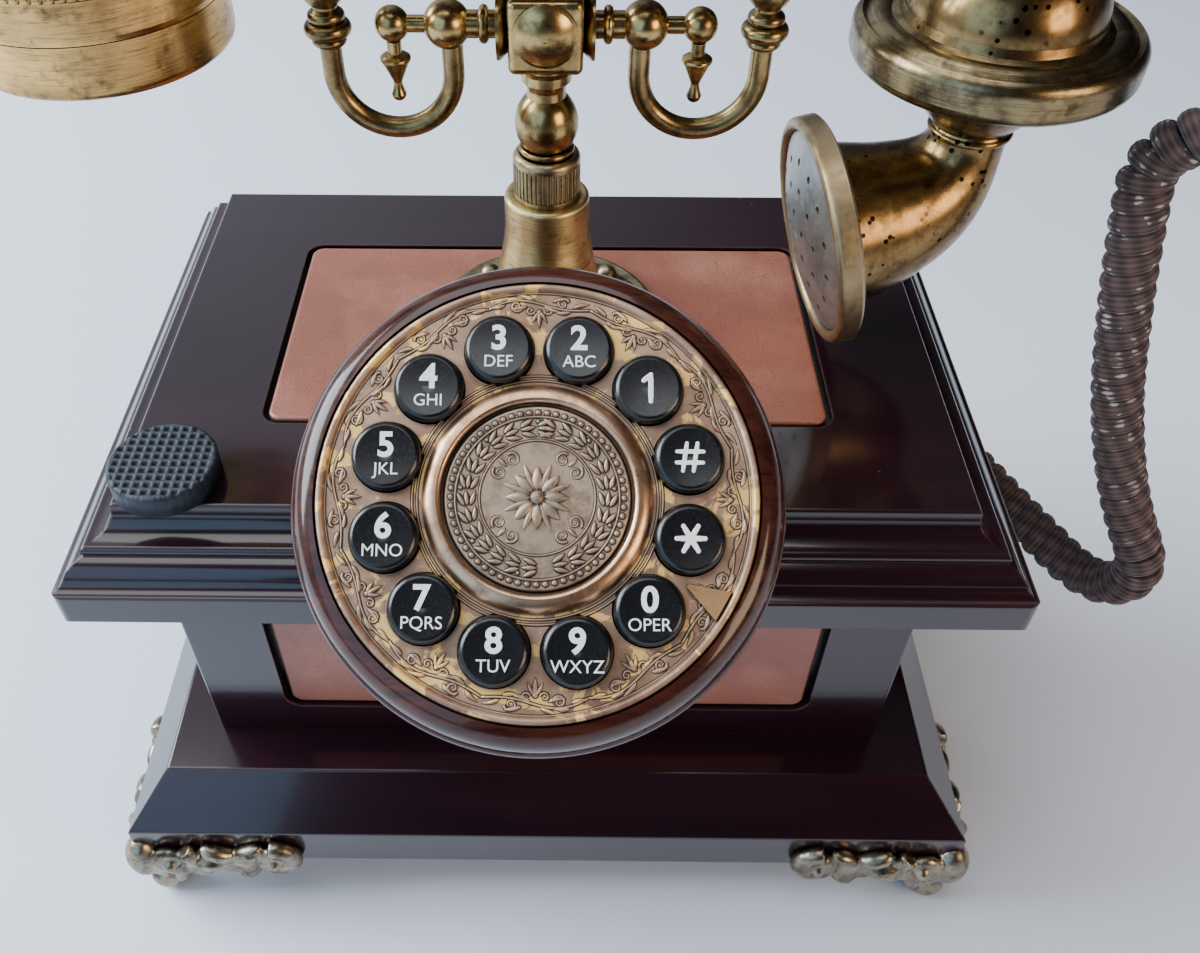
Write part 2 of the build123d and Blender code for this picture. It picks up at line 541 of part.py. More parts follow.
def make_hook(side):
    """U-shaped tube from the big ball out to an upright with three rings, a bulb and a fork."""
    middle = (HOOK_IN_X + HOOK_OUT_X) / 2
    bend = (HOOK_OUT_X - HOOK_IN_X) / 2
    bulb_low, saddle_z = 217.2, HANDLE_Z
    start = (HOOK_IN_X, 0, BLOCK_Z)
    down = Edge.make_line(start, (HOOK_IN_X, 0, HOOK_BEND_Z))
    curve = Edge.make_three_point_arc(
        (HOOK_IN_X, 0, HOOK_BEND_Z), (middle, 0, HOOK_BEND_Z - bend), (HOOK_OUT_X, 0, HOOK_BEND_Z))
    up = Edge.make_line((HOOK_OUT_X, 0, HOOK_BEND_Z), (HOOK_OUT_X, 0, bulb_low + 2))
    tube = tube_along(Wire([down, curve, up]), HOOK_TUBE_R)
    tube = tube - Pos(BIG_BALL_X, 0, BLOCK_Z) * Sphere(BIG_BALL_R)
    rings = turned(
        (0, 209.4), (3.0, 209.4), ((3.5, 210.2), (3.1, 211.0)), ((4.75, 212.6), (3.4, 214.2)),
        ((3.7, 215.3), (3.0, 216.2)), (2.4, 216.7), (2.4, bulb_low), ((4.6, 221.3), (2.6, 225.2)),
        (2.6, 228.0), (0, 228.0))
    inner = GRIP_END_R + HANDLE_GAP
    bar, bead = FORK_BAR_R, FORK_TIP_R
    half = Wire([
        Edge.make_three_point_arc(
            (0, -inner - bar, saddle_z), (0, 0, saddle_z - inner - bar), (0, inner + bar, saddle_z))])
    fork = tube_along(half, bar)
    for s in (-1, 1):
        tip = turned((0, 0), (bar, 0), (bar, 1.6), ((bead, 2.8), (bead, 3.6)), cap(bead, 3.6, 6.3))
        fork += Pos(0, s * (inner + bead), saddle_z) * tip
    upright = Pos(HOOK_OUT_X, 0, 0) * (rings + fork)
    shape = tube + upright
    shape = shape if side > 0 else mirror(shape, about=Plane.YZ)
    return Pos(STEM_X, STEM_Y, 0) * shape


def on_handle_axis(shape):
    """Stand a shape that was turned about Z along the handle's axis, +Z becoming +X."""
    return Pos(0, STEM_Y, HANDLE_Z) * Rot(0, 90, 0) * shape


def make_handle_grip():
    half = 33.0
    return on_handle_axis(turned(
        (3.0, -half), (GRIP_END_R + 0.6, -half), ((GRIP_R + 0.6, 0), (GRIP_END_R + 0.6, half)), (3.0, half)))


def make_handle_end(side):
    """Brass end of the handle: ring at the grip, plain journal in the fork, bead and end ball."""
    r, ball = GRIP_END_R, 8.2
    end = END_X
    reach = math.sqrt(ball ** 2 - 4.6 ** 2)
    bar = turned(
        (3.0, 33.0), (8.4, 33.0), ((9.0, 34.2), (8.4, 35.4)), (r, 35.9), (r, 51.5), ((8.8, 53.2), (r, 54.9)),
        ((5.2, 60.0), (4.6, 66.0)), ((5.4, 70.0), (6.2, 72.0)), (6.2, 74.0), (4.6, 75.2), (4.6, end - reach),
        ((ball, end), (0, end + ball)), (0, end + 2), (3.0, end - 2))
    turn = bar if side > 0 else Rot(180, 0, 0) * bar
    return on_handle_axis(turn)


def make_handle_tie():
    """Threaded tube through the handle that carries the wires."""
    return on_handle_axis(turned((2.0, -END_X + 3), (2.9, -END_X + 3), (2.9, END_X - 3), (2.0, END_X - 3)))


def receiver_place():
    return Pos(-END_X, STEM_Y, 0)


def make_receiver_cup():
    r, low, top = RECEIVER_R, RECEIVER_LOW_Z, RECEIVER_TOP_Z
    inner = r - 2.0
    cup = turned(
        (inner - 1.5, low + 10.8), (r, low + 10.8), (r + 0.2, low + 11.8), (r, low + 18.4),
        ((r + 0.5, low + 19.1), (r, low + 19.8)), ((r - 0.6, top - 0.3), (r - 1.6, top)),
        ((15.0, top + 1.6), (6.6, top + 2.0)),
        (6.6, HANDLE_Z - 7.9), (5.0, HANDLE_Z - 7.9), (5.0, top - 0.4),
        ((15.0, top - 0.4), (inner - 1.5, top - 2.0)))
    return receiver_place() * (cup - Pos(0, 0, HANDLE_Z) * Sphere(8.2))


def make_receiver_cap():
    """Screwed ring and perforated face that close the receiver from below."""
    r, low = RECEIVER_R, RECEIVER_LOW_Z
    face = turned(
        (0, low + 1.4), (r - 7, low + 1.4), ((r - 4.0, low), (r - 2.5, low)),
        ((r - 0.5, low + 0.6), (r, low + 2.0)),
        (r, low + 10.6), (r - 3.6, low + 10.6), (r - 3.6, low + 3.6), (0, low + 3.2))
    for ring, count in ((0, 1), (6.0, 6), (12.0, 12)):
        for k in range(count):
            face -= Rot(0, 0, k * 360 / count) * Pos(ring, 0, low + 2) * Cylinder(1.0, 8)
    return receiver_place() * face


def make_receiver_capsule():
    low = RECEIVER_LOW_Z + 4.0
    return receiver_place() * turned((0, low), (19.5, low), (19.5, low + 5), (13, low + 8), (0, low + 8))


def transmitter_place():
    return Pos(END_X, STEM_Y, 0)


def make_transmitter_dome():
    top, high = FLANGE_TOP_Z, DOME_TOP_Z
    dome = turned(
        (DOME_R - 1.6, top), (DOME_R + 0.5, top), (DOME_R, top + 1.6),
        ((SHOULDER_R, top + SHOULDER_UP), (6.8, high)),
        (4.8, high), ((SHOULDER_R - 1.6, top + SHOULDER_UP - 1.0), (DOME_R - 1.6, top)))
    return transmitter_place() * (dome - Pos(0, 0, HANDLE_Z) * Sphere(8.2))


def make_transmitter_flange():
    """Broad disc with a grooved rim under the dome."""
    r, low, top = FLANGE_R, FLANGE_LOW_Z, FLANGE_TOP_Z
    flange = turned(
        (8.0, low + 1.2), (20.0, low - 0.6), ((r - 5.0, low - 0.4), (r - 3.0, low)),
        ((r - 0.9, low + 0.9), (r, low + 2.6)),
        (r, low + 6.0), ((r - 0.4, low + 7.6), (r - 1.6, top - 1.0)), (r - 2.6, top - 1.6),
        (r - 3.6, top - 0.6), ((r - 5.4, top), (r - 7.2, top - 0.5)), (DOME_R + 0.6, top), (8.0, top))
    inside = turned((8.0, low + 2.6), (r - 4.0, low + 2.6), (r - 4.0, top - 2.6), (8.0, top - 2.6))
    return transmitter_place() * (flange - inside)


def make_transmitter_neck():
    low, top = HORN_TOP_Z, FLANGE_LOW_Z
    neck = turned(
        (6.2, low), (8.2, low), ((8.8, low + 0.8), (8.2, low + 1.6)), (8.0, low + 2.0),
        ((10.6, low + 4.8), (13.8, low + 9.0)), (16.4, low + 12.6), (18.0, top - 0.3), (8.4, top + 1.1),
        (8.4, low + 9.0), (6.2, low + 3.0))
    return transmitter_place() * neck


def horn_frame():
    """Frame at the horn's top: local x leads the way the horn turns, local z points up."""
    turn = math.radians(HORN_TURN_DEG)
    ahead = (-math.cos(turn), -math.sin(turn), 0)
    return Plane(origin=(END_X, STEM_Y, HORN_TOP_Z), x_dir=ahead, z_dir=(0, 0, 1))


def horn_sections(wall):
    """Circles of the bent, widening horn, from the neck down and round to the mouthpiece."""
    drop = HORN_DROP_DEG
    back = math.radians(drop)
    end = (MIC_OUT - MIC_DEEP * math.cos(back), MIC_Z - HORN_TOP_Z + MIC_DEEP * math.sin(back))
    stations = (
        (0.0, 0.0, 7.9, 0.0), (1.4, -5.8, 9.3, 16.0), (4.4, -11.4, 12.0, 39.0),
        (10.2, -16.6, 14.6, 60.0), (17.2, -19.8, 16.6, 74.0), (*end, 18.6, 90.0 - drop))
    circles = []
    for ahead, height, radius, turn_deg in stations:
        turn = math.radians(turn_deg)
        heading = (math.sin(turn), 0, -math.cos(turn))
        circles.append(Plane(origin=(ahead, 0, height), z_dir=heading) * Circle(radius - wall))
    return circles


def make_transmitter_horn():
    outer = loft(horn_sections(0))
    inner = loft(horn_sections(1.3))
    return horn_frame() * (outer - inner)


def mic_frame():
    """Frame at the mouthpiece's front: local z is the way it faces."""
    turn, drop = math.radians(HORN_TURN_DEG), math.radians(HORN_DROP_DEG)
    ahead = Vector(-math.cos(turn), -math.sin(turn), 0)
    facing = Vector(ahead.X * math.cos(drop), ahead.Y * math.cos(drop), -math.sin(drop))
    origin = Vector(END_X, STEM_Y, MIC_Z) + ahead * MIC_OUT
    return Plane(origin=origin, x_dir=facing.cross(Vector(0, 0, 1)), z_dir=facing)


def make_mic_cap():
    r = MIC_R
    face = turned(
        (0, 1.8), (17.2, -2.6), (17.2, -MIC_DEEP), (r - 0.7, -MIC_DEEP), (r, -4.4), (r, -1.0),
        ((r - 1.4, 0.5), (r - 2.9, -0.8)), (r - 3.3, -0.6), cap(r - 3.3, -0.6, 3.2))
    for ring, count in ((5.4, 5), (11.2, 10), (16.6, 14)):
        for k in range(count):
            turn = (k + 0.5 * (count == 10)) * 360 / count
            face -= Rot(0, 0, turn) * Pos(ring, 0, 0) * Cylinder(0.85, 10)
    return mic_frame() * face


def make_mic_capsule():
    return mic_frame() * Pos(0, 0, -11.5) * extrude(Circle(12.5), amount=7)


def make_strain_relief():
    """Tapered boot on the dome's shoulder where the cord goes into the transmitter."""
    end = Vector(CORD_ROUTE[-1])
    back = (end - Vector(CORD_ROUTE[-2])).normalized()
    place = Plane(origin=end + back * RELIEF_LONG, z_dir=-back)
    long = RELIEF_LONG
    boot = place * turned(
        (0, -6.0), (7.2, -6.0), (6.6, 2.0), ((5.0, 8.0), (4.6, long - 2.5)),
        ((5.2, long - 1.6), (5.7, long)), (0, long))
    return boot - transmitter_place() * dome_block()


def dome_block():
    """The dome's outside filled in, down past its foot."""
    top, high = FLANGE_TOP_Z, DOME_TOP_Z
    return turned(
        (0, top - 1), (DOME_R + 0.52, top - 1), (DOME_R + 0.52, top), (DOME_R + 0.02, top + 1.6),
        ((SHOULDER_R + 0.02, top + SHOULDER_UP), (6.82, high)), (6.82, high + 10), (0, high + 10))


def make_rubber_pad():
    pad = Pos(PAD_X, PAD_Y, LID_TOP_Z) * extrude(Circle(PAD_R), amount=PAD_THICK)
    return fillet(pad.edges().filter_by(GeomType.CIRCLE), 0.6)


def make_cord():
    points = [Vector(p) for p in CORD_ROUTE]
    radii = []
    for before, here, after in zip(points, points[1:], points[2:]):
        run_in, run_out = here - before, after - here
        turn = math.radians(run_in.get_angle(run_out))
        radii.append(0.45 * min(run_in.length, run_out.length) / math.tan(turn / 2))
    path = FilletPolyline(*points, radius=radii)
    wire = Wire(path.edges())
    tube = tube_along(wire, COIL_D / 2)
    print("cord radii", [round(r, 1) for r in radii])
    print("cord length", round(wire.length, 1), "volume", round(tube.volume),
          "section x length", round(math.pi * COIL_D ** 2 / 4 * wire.length))
    return tube


def build():
    """Every node of the telephone, by name."""
    screw_holes = cover_screw_holes()
    nodes = {
        "plinth": make_plinth() - screw_holes,
        "body_box": make_body(),
        "lid": make_lid(),
        "leather_panel_top": make_top_leather(),
        "leather_panel_front": make_front_leather(),
        "bottom_cover": make_bottom_cover(),
        "cover_screws": make_cover_screws(),
        "corner_feet": make_feet(),
        "ballast_plate": make_ballast(),
        "circuit_board": make_circuit_board(),
        "ringer": make_ringer(),
        "line_jack": make_line_jack(),
        "cord_gland": make_cord_gland(),
        "stem_rosette": make_stem_rosette(),
        "stem_sleeve": make_stem_sleeve(),
        "stem_collar": make_stem_collar(),
        "stem_nut": make_stem_nut(),
        "hook_switch": make_hook_switch(),
        "dial_housing": make_dial_housing(),
        "dial_bracket": make_dial_bracket(),
        "dial_plate": make_dial_plate(),
        "dial_centre_ring": make_dial_centre_ring(),
        "dial_medallion": make_medallion(),
        "dial_finger_stop": make_finger_stop(),
        "keypad_board": make_keypad_board(),
        "keypad_mat": make_keypad_mat(),
        "keypad_screws": make_keypad_screws(),
        "cradle_post": make_cradle_post(),
        "cradle_block": make_cradle_block(),
        "cradle_bosses": make_cradle_bosses(),
        "cradle_arms": Compound([make_arm(-1), make_arm(1)]),
        "cradle_finials": make_finials(),
        "cradle_hook_left": make_hook(-1),
        "cradle_hook_right": make_hook(1),
        "handle_grip": make_handle_grip(),
        "handle_ends": Compound([make_handle_end(-1), make_handle_end(1)]),
        "handle_tie": make_handle_tie(),
        "receiver_cup": make_receiver_cup(),
        "receiver_cap": make_receiver_cap(),
        "transmitter_dome": make_transmitter_dome(),
        "transmitter_flange": make_transmitter_flange(),
        "transmitter_neck": make_transmitter_neck(),
        "transmitter_horn": make_transmitter_horn(),
        "mouthpiece_cap": make_mic_cap(),
        "capsules": Compound([make_receiver_capsule(), make_mic_capsule()]),
        "handset_strain_relief": make_strain_relief(),
    }
    for name in KEY_NAMES:
        nodes["key_" + name] = make_key(name)
    nodes["loose_rubber_pad"] = make_rubber_pad()
    nodes["handset_cord"] = make_cord()
    return nodes


if __name__ == "__main__":
    os.makedirs("parts", exist_ok=True)
    low, high = Vector(1e9, 1e9, 1e9), Vector(-1e9, -1e9, -1e9)
    for name, shape in build().items():
        bounds = write(name, shape).bounding_box()
        if name != "handset_cord":
            low = Vector(*(min(a, b) for a, b in zip(low, bounds.min)))
            high = Vector(*(max(a, b) for a, b in zip(high, bounds.max)))
    print("box without the cord", low, high, "centre", (low + high) / 2)
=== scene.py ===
import bmesh
import bpy
import json
import math
from mathutils import Matrix, Vector


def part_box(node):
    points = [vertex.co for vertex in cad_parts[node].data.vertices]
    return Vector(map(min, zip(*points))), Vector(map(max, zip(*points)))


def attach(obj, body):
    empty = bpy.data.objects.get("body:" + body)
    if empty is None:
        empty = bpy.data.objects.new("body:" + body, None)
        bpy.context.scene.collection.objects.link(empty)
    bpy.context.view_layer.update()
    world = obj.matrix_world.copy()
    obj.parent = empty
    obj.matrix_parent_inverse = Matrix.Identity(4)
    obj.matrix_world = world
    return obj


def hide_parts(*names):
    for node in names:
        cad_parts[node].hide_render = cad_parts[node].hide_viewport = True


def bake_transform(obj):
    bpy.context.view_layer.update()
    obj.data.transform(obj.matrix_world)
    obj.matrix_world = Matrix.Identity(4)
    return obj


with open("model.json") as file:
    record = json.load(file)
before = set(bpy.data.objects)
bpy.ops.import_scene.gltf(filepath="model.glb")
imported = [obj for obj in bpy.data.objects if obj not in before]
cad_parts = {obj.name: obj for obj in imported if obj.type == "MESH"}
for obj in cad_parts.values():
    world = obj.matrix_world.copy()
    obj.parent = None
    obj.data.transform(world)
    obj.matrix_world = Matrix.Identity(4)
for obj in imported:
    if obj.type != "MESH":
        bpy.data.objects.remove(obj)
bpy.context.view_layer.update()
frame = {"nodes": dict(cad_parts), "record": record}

# The looks of a desk telephone. Metres, in the CAD frame. MM turns millimetres into metres.
MM = 0.001
ORIGIN = Vector((5.19, -14.46, 0.0)) * MM

# Camera: place and heading in the frame of the wooden base, and its lens
CAMERA_PLACE = Vector((3.64, -212.32, 309.35)) * MM
CAMERA_YAW_DEG, CAMERA_PITCH_DEG, CAMERA_ROLL_DEG = -0.54, -45.85, 0.08
CAMERA_LENS, CAMERA_SHIFT = 33.31, (0.0370, -0.0057)

# Curly cord: the route of part.py in metres, its coil and its strand
CORD_ROUTE = [
    (0.0960, 0.0060, 0.0970), (0.1090, 0.0060, 0.0970), (0.1190, -0.0070, 0.0925),
    (0.1265, -0.0165, 0.0890), (0.1415, -0.0325, 0.0815), (0.1475, -0.0395, 0.0960),
    (0.1380, -0.0314, 0.1130), (0.1300, -0.0235, 0.1370), (0.1243, -0.0185, 0.1635),
    (0.1212, -0.0150, 0.1825), (0.1200, -0.0126, 0.1943), (0.1261, -0.0177, 0.2030),
    (0.1380, -0.0189, 0.2054), (0.1456, -0.0174, 0.2148), (0.1428, -0.0142, 0.2253),
    (0.1349, -0.0101, 0.2300), (0.1240, -0.0070, 0.2306),
]
COIL_D = 11.4 * MM
STRAND_WIDE, STRAND_THICK = 5.1 * MM, 3.9 * MM
COIL_PITCH = 4.45 * MM

# Dial: how far its face leans back, and the places of its keys
DIAL_CENTER = Vector((-0.9, -76.9, 162.4)) * MM
DIAL_RISE_DEG = 55.3
KEY_R = 6.3 * MM
KEY_HEIGHT = 2.9 * MM
KEY_DISH = 0.27 * MM
KEY_RING_R = 28.2 * MM
KEY_FIRST_DEG = 75.0
KEYS = (
    ("2", "2", "ABC"), ("3", "3", "DEF"), ("4", "4", "GHI"), ("5", "5", "JKL"), ("6", "6", "MNO"),
    ("7", "7", "PQRS"), ("8", "8", "TUV"), ("9", "9", "WXYZ"), ("0", "0", "OPER"),
    ("star", "*", ""), ("hash", "#", ""), ("1", "1", ""),
)

# Mouthpiece: how far its horn turns from the handle's axis and drops, and the radius of its face
HORN_TURN_DEG, HORN_DROP_DEG = 7.2, 10.5
MIC_FACE_R = 21.9 * MM

rise = math.radians(DIAL_RISE_DEG)
dial_normal = Vector((0, -math.cos(rise), math.sin(rise)))
dial_up = Vector((0, math.sin(rise), math.cos(rise)))


def middle(node):
    low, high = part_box(node)
    return (low + high) / 2


def frame_matrix(origin, x_axis, y_axis, z_axis):
    """Matrix that takes local coordinates into the row's frame."""
    turn = Matrix((x_axis, y_axis, z_axis)).transposed().to_4x4()
    return Matrix.Translation(origin) @ turn


dial_matrix = frame_matrix(DIAL_CENTER - ORIGIN, Vector((1, 0, 0)), dial_up, dial_normal)


# Meshes

def add_object(name, mesh, material=None, smooth=True):
    piece = bpy.data.objects.new(name, mesh)
    bpy.context.scene.collection.objects.link(piece)
    if material:
        mesh.materials.append(material)
    if smooth:
        for face in mesh.polygons:
            face.use_smooth = True
    return piece


def mesh_from(name, vertices, faces):
    mesh = bpy.data.meshes.new(name)
    mesh.from_pydata([tuple(v) for v in vertices], [], faces)
    mesh.update()
    return mesh


def tube(points, radius, sides=10, closed=False, flat=1.0, up=None):
    """Vertices and faces of a tube along points. radius is a number or one number per point."""
    count = len(points)
    ring_list, faces = [], []
    normal = None
    for k in range(count):
        before = points[k - 1] if k or closed else points[k]
        after = points[(k + 1) % count] if k + 1 < count or closed else points[k]
        ahead = (after - before).normalized()
        if up is not None:
            face_up = up[k] if isinstance(up, list) else up
            normal = (face_up - ahead * face_up.dot(ahead)).normalized()
        elif normal is None:
            side = Vector((0, 0, 1)) if abs(ahead.z) < 0.9 else Vector((1, 0, 0))
            normal = ahead.cross(side).normalized()
        else:
            normal = (normal - ahead * normal.dot(ahead)).normalized()
        across = ahead.cross(normal)
        size = radius if isinstance(radius, (int, float)) else radius[k]
        for j in range(sides):
            angle = 2 * math.pi * j / sides
            ring_list.append(points[k] + size * (math.cos(angle) * across + flat * math.sin(angle) * normal))
    for k in range(count if closed else count - 1):
        for j in range(sides):
            a, b = k * sides + j, k * sides + (j + 1) % sides
            c, d = ((k + 1) % count) * sides + (j + 1) % sides, ((k + 1) % count) * sides + j
            faces.append((a, b, c, d))
    if not closed:
        faces.append(tuple(range(sides))[::-1])
        faces.append(tuple(range((count - 1) * sides, count * sides)))
    return ring_list, faces


def joined(parts):
    """One vertex and face list out of several."""
    vertices, faces = [], []
    for part_vertices, part_faces in parts:
        start = len(vertices)
        vertices += part_vertices
        faces += [tuple(i + start for i in face) for face in part_faces]
    return vertices, faces


def placed(part, matrix):
    vertices, faces = part
    return [matrix @ v for v in vertices], faces


def ellipsoid(center, size, turn=None, rings=10, sides=14):
    """Closed ball with three half sizes, turned by a matrix."""
    vertices = [Vector((0, 0, size[2]))]
    for i in range(1, rings):
        tilt = math.pi * i / rings
        for j in range(sides):
            angle = 2 * math.pi * j / sides
            vertices.append(Vector((size[0] * math.sin(tilt) * math.cos(angle),
                                    size[1] * math.sin(tilt) * math.sin(angle), size[2] * math.cos(tilt))))
    vertices.append(Vector((0, 0, -size[2])))
    faces = [(0, 1 + j, 1 + (j + 1) % sides) for j in range(sides)]
    for i in range(rings - 2):
        for j in range(sides):
            a, b = 1 + i * sides + j, 1 + i * sides + (j + 1) % sides
            faces.append((a, a + sides, b + sides, b))
    last = len(vertices) - 1
    faces += [(last, last - sides + (j + 1) % sides, last - sides + j) for j in range(sides)]
    turn = turn or Matrix.Identity(3)
    return [center + turn @ v for v in vertices], faces


def leaf(length, width, height, bend=0.0, count=9):
    """Pointed leaf along +X with a raised spine, as a closed mesh standing on z = 0."""
    vertices, faces = [], []
    for i in range(count):
        t = i / (count - 1)
        half = width / 2 * math.sin(math.pi * t ** 0.8) ** 0.8 + 0.02 * width
        lift = height * math.sin(math.pi * min(1.0, t * 0.9 + 0.1)) ** 0.5
        y = bend * t * t
        x = t * length
        vertices += [Vector((x, y - half, -0.1 * MM)), Vector((x, y - half * 0.55, lift * 0.75)),
                     Vector((x, y, lift)), Vector((x, y + half * 0.55, lift * 0.75)),
                     Vector((x, y + half, -0.1 * MM))]
    for i in range(count - 1):
        for j in range(4):
            a = i * 5 + j
            faces.append((a, a + 5, a + 6, a + 1))
        faces.append((i * 5 + 4, i * 5 + 9, i * 5 + 5, i * 5))
    faces.append((0, 1, 2, 3, 4))
    faces.append(tuple(range((count - 1) * 5, count * 5))[::-1])
    return vertices, faces


def spiral(center, start_deg, turns, outer, inner, steps=22, hand=1):
    """Points of a flat spiral, from its open end to its eye."""
    points = []
    for i in range(steps + 1):
        t = i / steps
        angle = math.radians(start_deg) + hand * 2 * math.pi * turns * t
        radius = outer + (inner - outer) * t
        points.append(center + Vector((radius * math.cos(angle), radius * math.sin(angle), 0)))
    return points


# Materials

class Shader:
    """A material being built: add() makes a node and fills its sockets with values or other sockets."""

    def __init__(self, name):
        self.material = bpy.data.materials.new(name)
        self.material.use_nodes = True
        self.tree = self.material.node_tree
        self.surface = self.tree.nodes["Principled BSDF"]
        self.place = self.add("ShaderNodeTexCoord").outputs["Object"]

    def add(self, kind, settings=None, **sockets):
        node = self.tree.nodes.new(kind)
        for key, value in (settings or {}).items():
            setattr(node, key, value)
        for key, value in sockets.items():
            self.fill(node, key.replace("_", " "), value)
        return node

    def fill(self, node, key, value):
        socket = node.inputs[int(key[1:])] if key[0] == "i" and key[1:].isdigit() else node.inputs[key]
        if isinstance(value, bpy.types.NodeSocket):
            self.tree.links.new(value, socket)
        else:
            socket.default_value = value

    def set(self, **sockets):
        for key, value in sockets.items():
            self.fill(self.surface, key.replace("_", " "), value)

    def stretched(self, x, y, z, turn=(0, 0, 0)):
        node = self.add("ShaderNodeMapping", Vector=self.place, Scale=(x, y, z), Rotation=turn)
        return node.outputs["Vector"]

    def noise(self, scale, detail=4.0, roughness=0.55, distortion=0.0, place=None):
        node = self.add("ShaderNodeTexNoise", Vector=place or self.place, Scale=scale, Detail=detail,
                        Roughness=roughness, Distortion=distortion)
        return node.outputs["Fac"]

    def cells(self, scale, feature="F1", output="Distance", place=None, randomness=1.0):
        node = self.add("ShaderNodeTexVoronoi", {"feature": feature}, Vector=place or self.place,
                        Scale=scale, Randomness=randomness)
        return node.outputs[output]

    def ramp(self, value, *stops):
        node = self.add("ShaderNodeValToRGB", Fac=value)
        elements = node.color_ramp.elements
        while len(elements) < len(stops):
            elements.new(0.5)
        for element, (position, colour) in zip(elements, stops):
            element.position = position
            element.color = (*colour, 1.0) if isinstance(colour, tuple) else (colour, colour, colour, 1.0)
        return node.outputs["Color"]

    def mix(self, amount, first, second, blend="MIX"):
        node = self.add("ShaderNodeMix", {"data_type": "RGBA", "blend_type": blend}, i0=amount)
        for socket, value in ((node.inputs[6], first), (node.inputs[7], second)):
            if isinstance(value, bpy.types.NodeSocket):
                self.tree.links.new(value, socket)
            else:
                channels = value if isinstance(value, tuple) else (value, value, value)
                socket.default_value = (*channels, 1.0)
        return node.outputs[2]

    def maths(self, operation, first, second=0.0, clamp=False):
        node = self.add("ShaderNodeMath", {"operation": operation, "use_clamp": clamp}, i0=first, i1=second)
        return node.outputs[0]

    def bump(self, height, strength, distance, normal=None):
        node = self.add("ShaderNodeBump", Height=height, Strength=strength, Distance=distance)
        if normal is not None:
            self.fill(node, "Normal", normal)
        return node.outputs["Normal"]

    def rounded(self, radius):
        return self.add("ShaderNodeBevel", {"samples": 4}, Radius=radius).outputs["Normal"]

    def hollows(self, distance, low, high):
        """1 in narrow hollows and where pieces meet, 0 in the open."""
        node = self.add("ShaderNodeAmbientOcclusion", {"samples": 4}, Distance=distance)
        openness = node.outputs["AO"]
        return self.add("ShaderNodeMapRange", Value=openness, From_Min=high, From_Max=low).outputs[0]

    def away_from_axis(self, center, axis):
        """Distance from a straight axis, in metres."""
        arm = self.add("ShaderNodeVectorMath", {"operation": "SUBTRACT"}, i0=self.place, i1=center).outputs[0]
        turned = self.add("ShaderNodeVectorMath", {"operation": "CROSS_PRODUCT"}, i0=arm, i1=axis).outputs[0]
        return self.add("ShaderNodeVectorMath", {"operation": "LENGTH"}, i0=turned).outputs["Value"]

    def edge(self, radius, low, high):
        """1 along the shape's edges, 0 on its faces."""
        soft = self.rounded(radius)
        sharp = self.add("ShaderNodeNewGeometry").outputs["Normal"]
        product = self.add("ShaderNodeVectorMath", {"operation": "DOT_PRODUCT"}, i0=soft, i1=sharp)
        dot = product.outputs["Value"]
        node = self.add("ShaderNodeMapRange", Value=dot, From_Min=high, From_Max=low)
        return node.outputs[0]


def lacquer(name, dark, light, gloss=0.12):
    """Dark glossy varnish over wood, with rubbed edges, a little lint and a faint grain."""
    s = Shader(name)
    grain = s.noise(22, 4, 0.5, 0.8, s.stretched(0.5, 3, 3))
    large = s.noise(9, 3)
    colour = s.mix(s.ramp(grain, (0.30, 0.0), (0.85, 1.0)), dark, light)
    edges = s.edge(0.9 * MM, 0.90, 0.995)
    scuffs = s.ramp(s.noise(900, 3, 0.7), (0.62, 0.0), (0.70, 1.0))
    warm = s.mix(s.maths("MULTIPLY", edges, 0.35), colour, (0.14, 0.06, 0.05))
    wear = s.maths("MULTIPLY", s.maths("MULTIPLY", edges, scuffs), s.ramp(large, (0.5, 0.0), (0.62, 1.0)))
    dust = s.ramp(s.cells(190), (0.0, 1.0), (0.05, 0.0))
    lint = s.maths("MULTIPLY", dust, s.ramp(s.noise(60), (0.58, 0.0), (0.62, 1.0)))
    spotted = s.mix(s.maths("MAXIMUM", wear, s.maths("MULTIPLY", lint, 0.5)), warm, (0.42, 0.38, 0.36))
    ripple = s.bump(s.noise(45, 2), 0.04, 0.6 * MM, s.rounded(0.5 * MM))
    s.set(Base_Color=spotted, Roughness=s.mix(large, gloss, gloss + 0.10), Normal=ripple,
          Specular_IOR_Level=0.45, Coat_Weight=0.35, Coat_Roughness=0.07)
    return s.material


def leather(name):
    s = Shader(name)
    large = s.noise(16, 4, 0.6)
    pores = s.cells(1500, "DISTANCE_TO_EDGE")
    fine = s.noise(1400, 4, 0.7)
    colour = s.ramp(large, (0.30, (0.20, 0.058, 0.034)), (0.52, (0.29, 0.090, 0.052)),
                    (0.75, (0.36, 0.120, 0.070)))
    rubbed_and_painted_shade = s.mix(s.ramp(s.noise(45, 3), (0.50, 0.0), (0.78, 0.9)), colour, (0.42, 0.17, 0.11))
    creases = s.mix(s.ramp(pores, (0.0, 1.0), (0.09, 0.0)), rubbed_and_painted_shade, (0.15, 0.05, 0.035))
    edged = s.mix(s.maths("MULTIPLY", s.edge(1.2 * MM, 0.85, 0.99), 0.65), creases, (0.50, 0.19, 0.09))
    # Near black in hollows and where the leather meets other pieces: painted shade.
    worn_and_painted_shade = s.mix(s.hollows(2.5 * MM, 0.35, 0.85), edged, (0.05, 0.018, 0.012))
    grain = s.bump(pores, 0.30, 0.14 * MM)
    soft = s.bump(fine, 0.20, 0.10 * MM, grain)
    waves = s.bump(large, 0.35, 2.5 * MM, soft)
    s.set(Base_Color=worn_and_painted_shade, Roughness=s.ramp(fine, (0.3, 0.36), (0.7, 0.50)), Normal=waves,
          Sheen_Weight=0.04, Sheen_Roughness=0.45, Coat_Weight=0.16, Coat_Roughness=0.28)
    return s.material


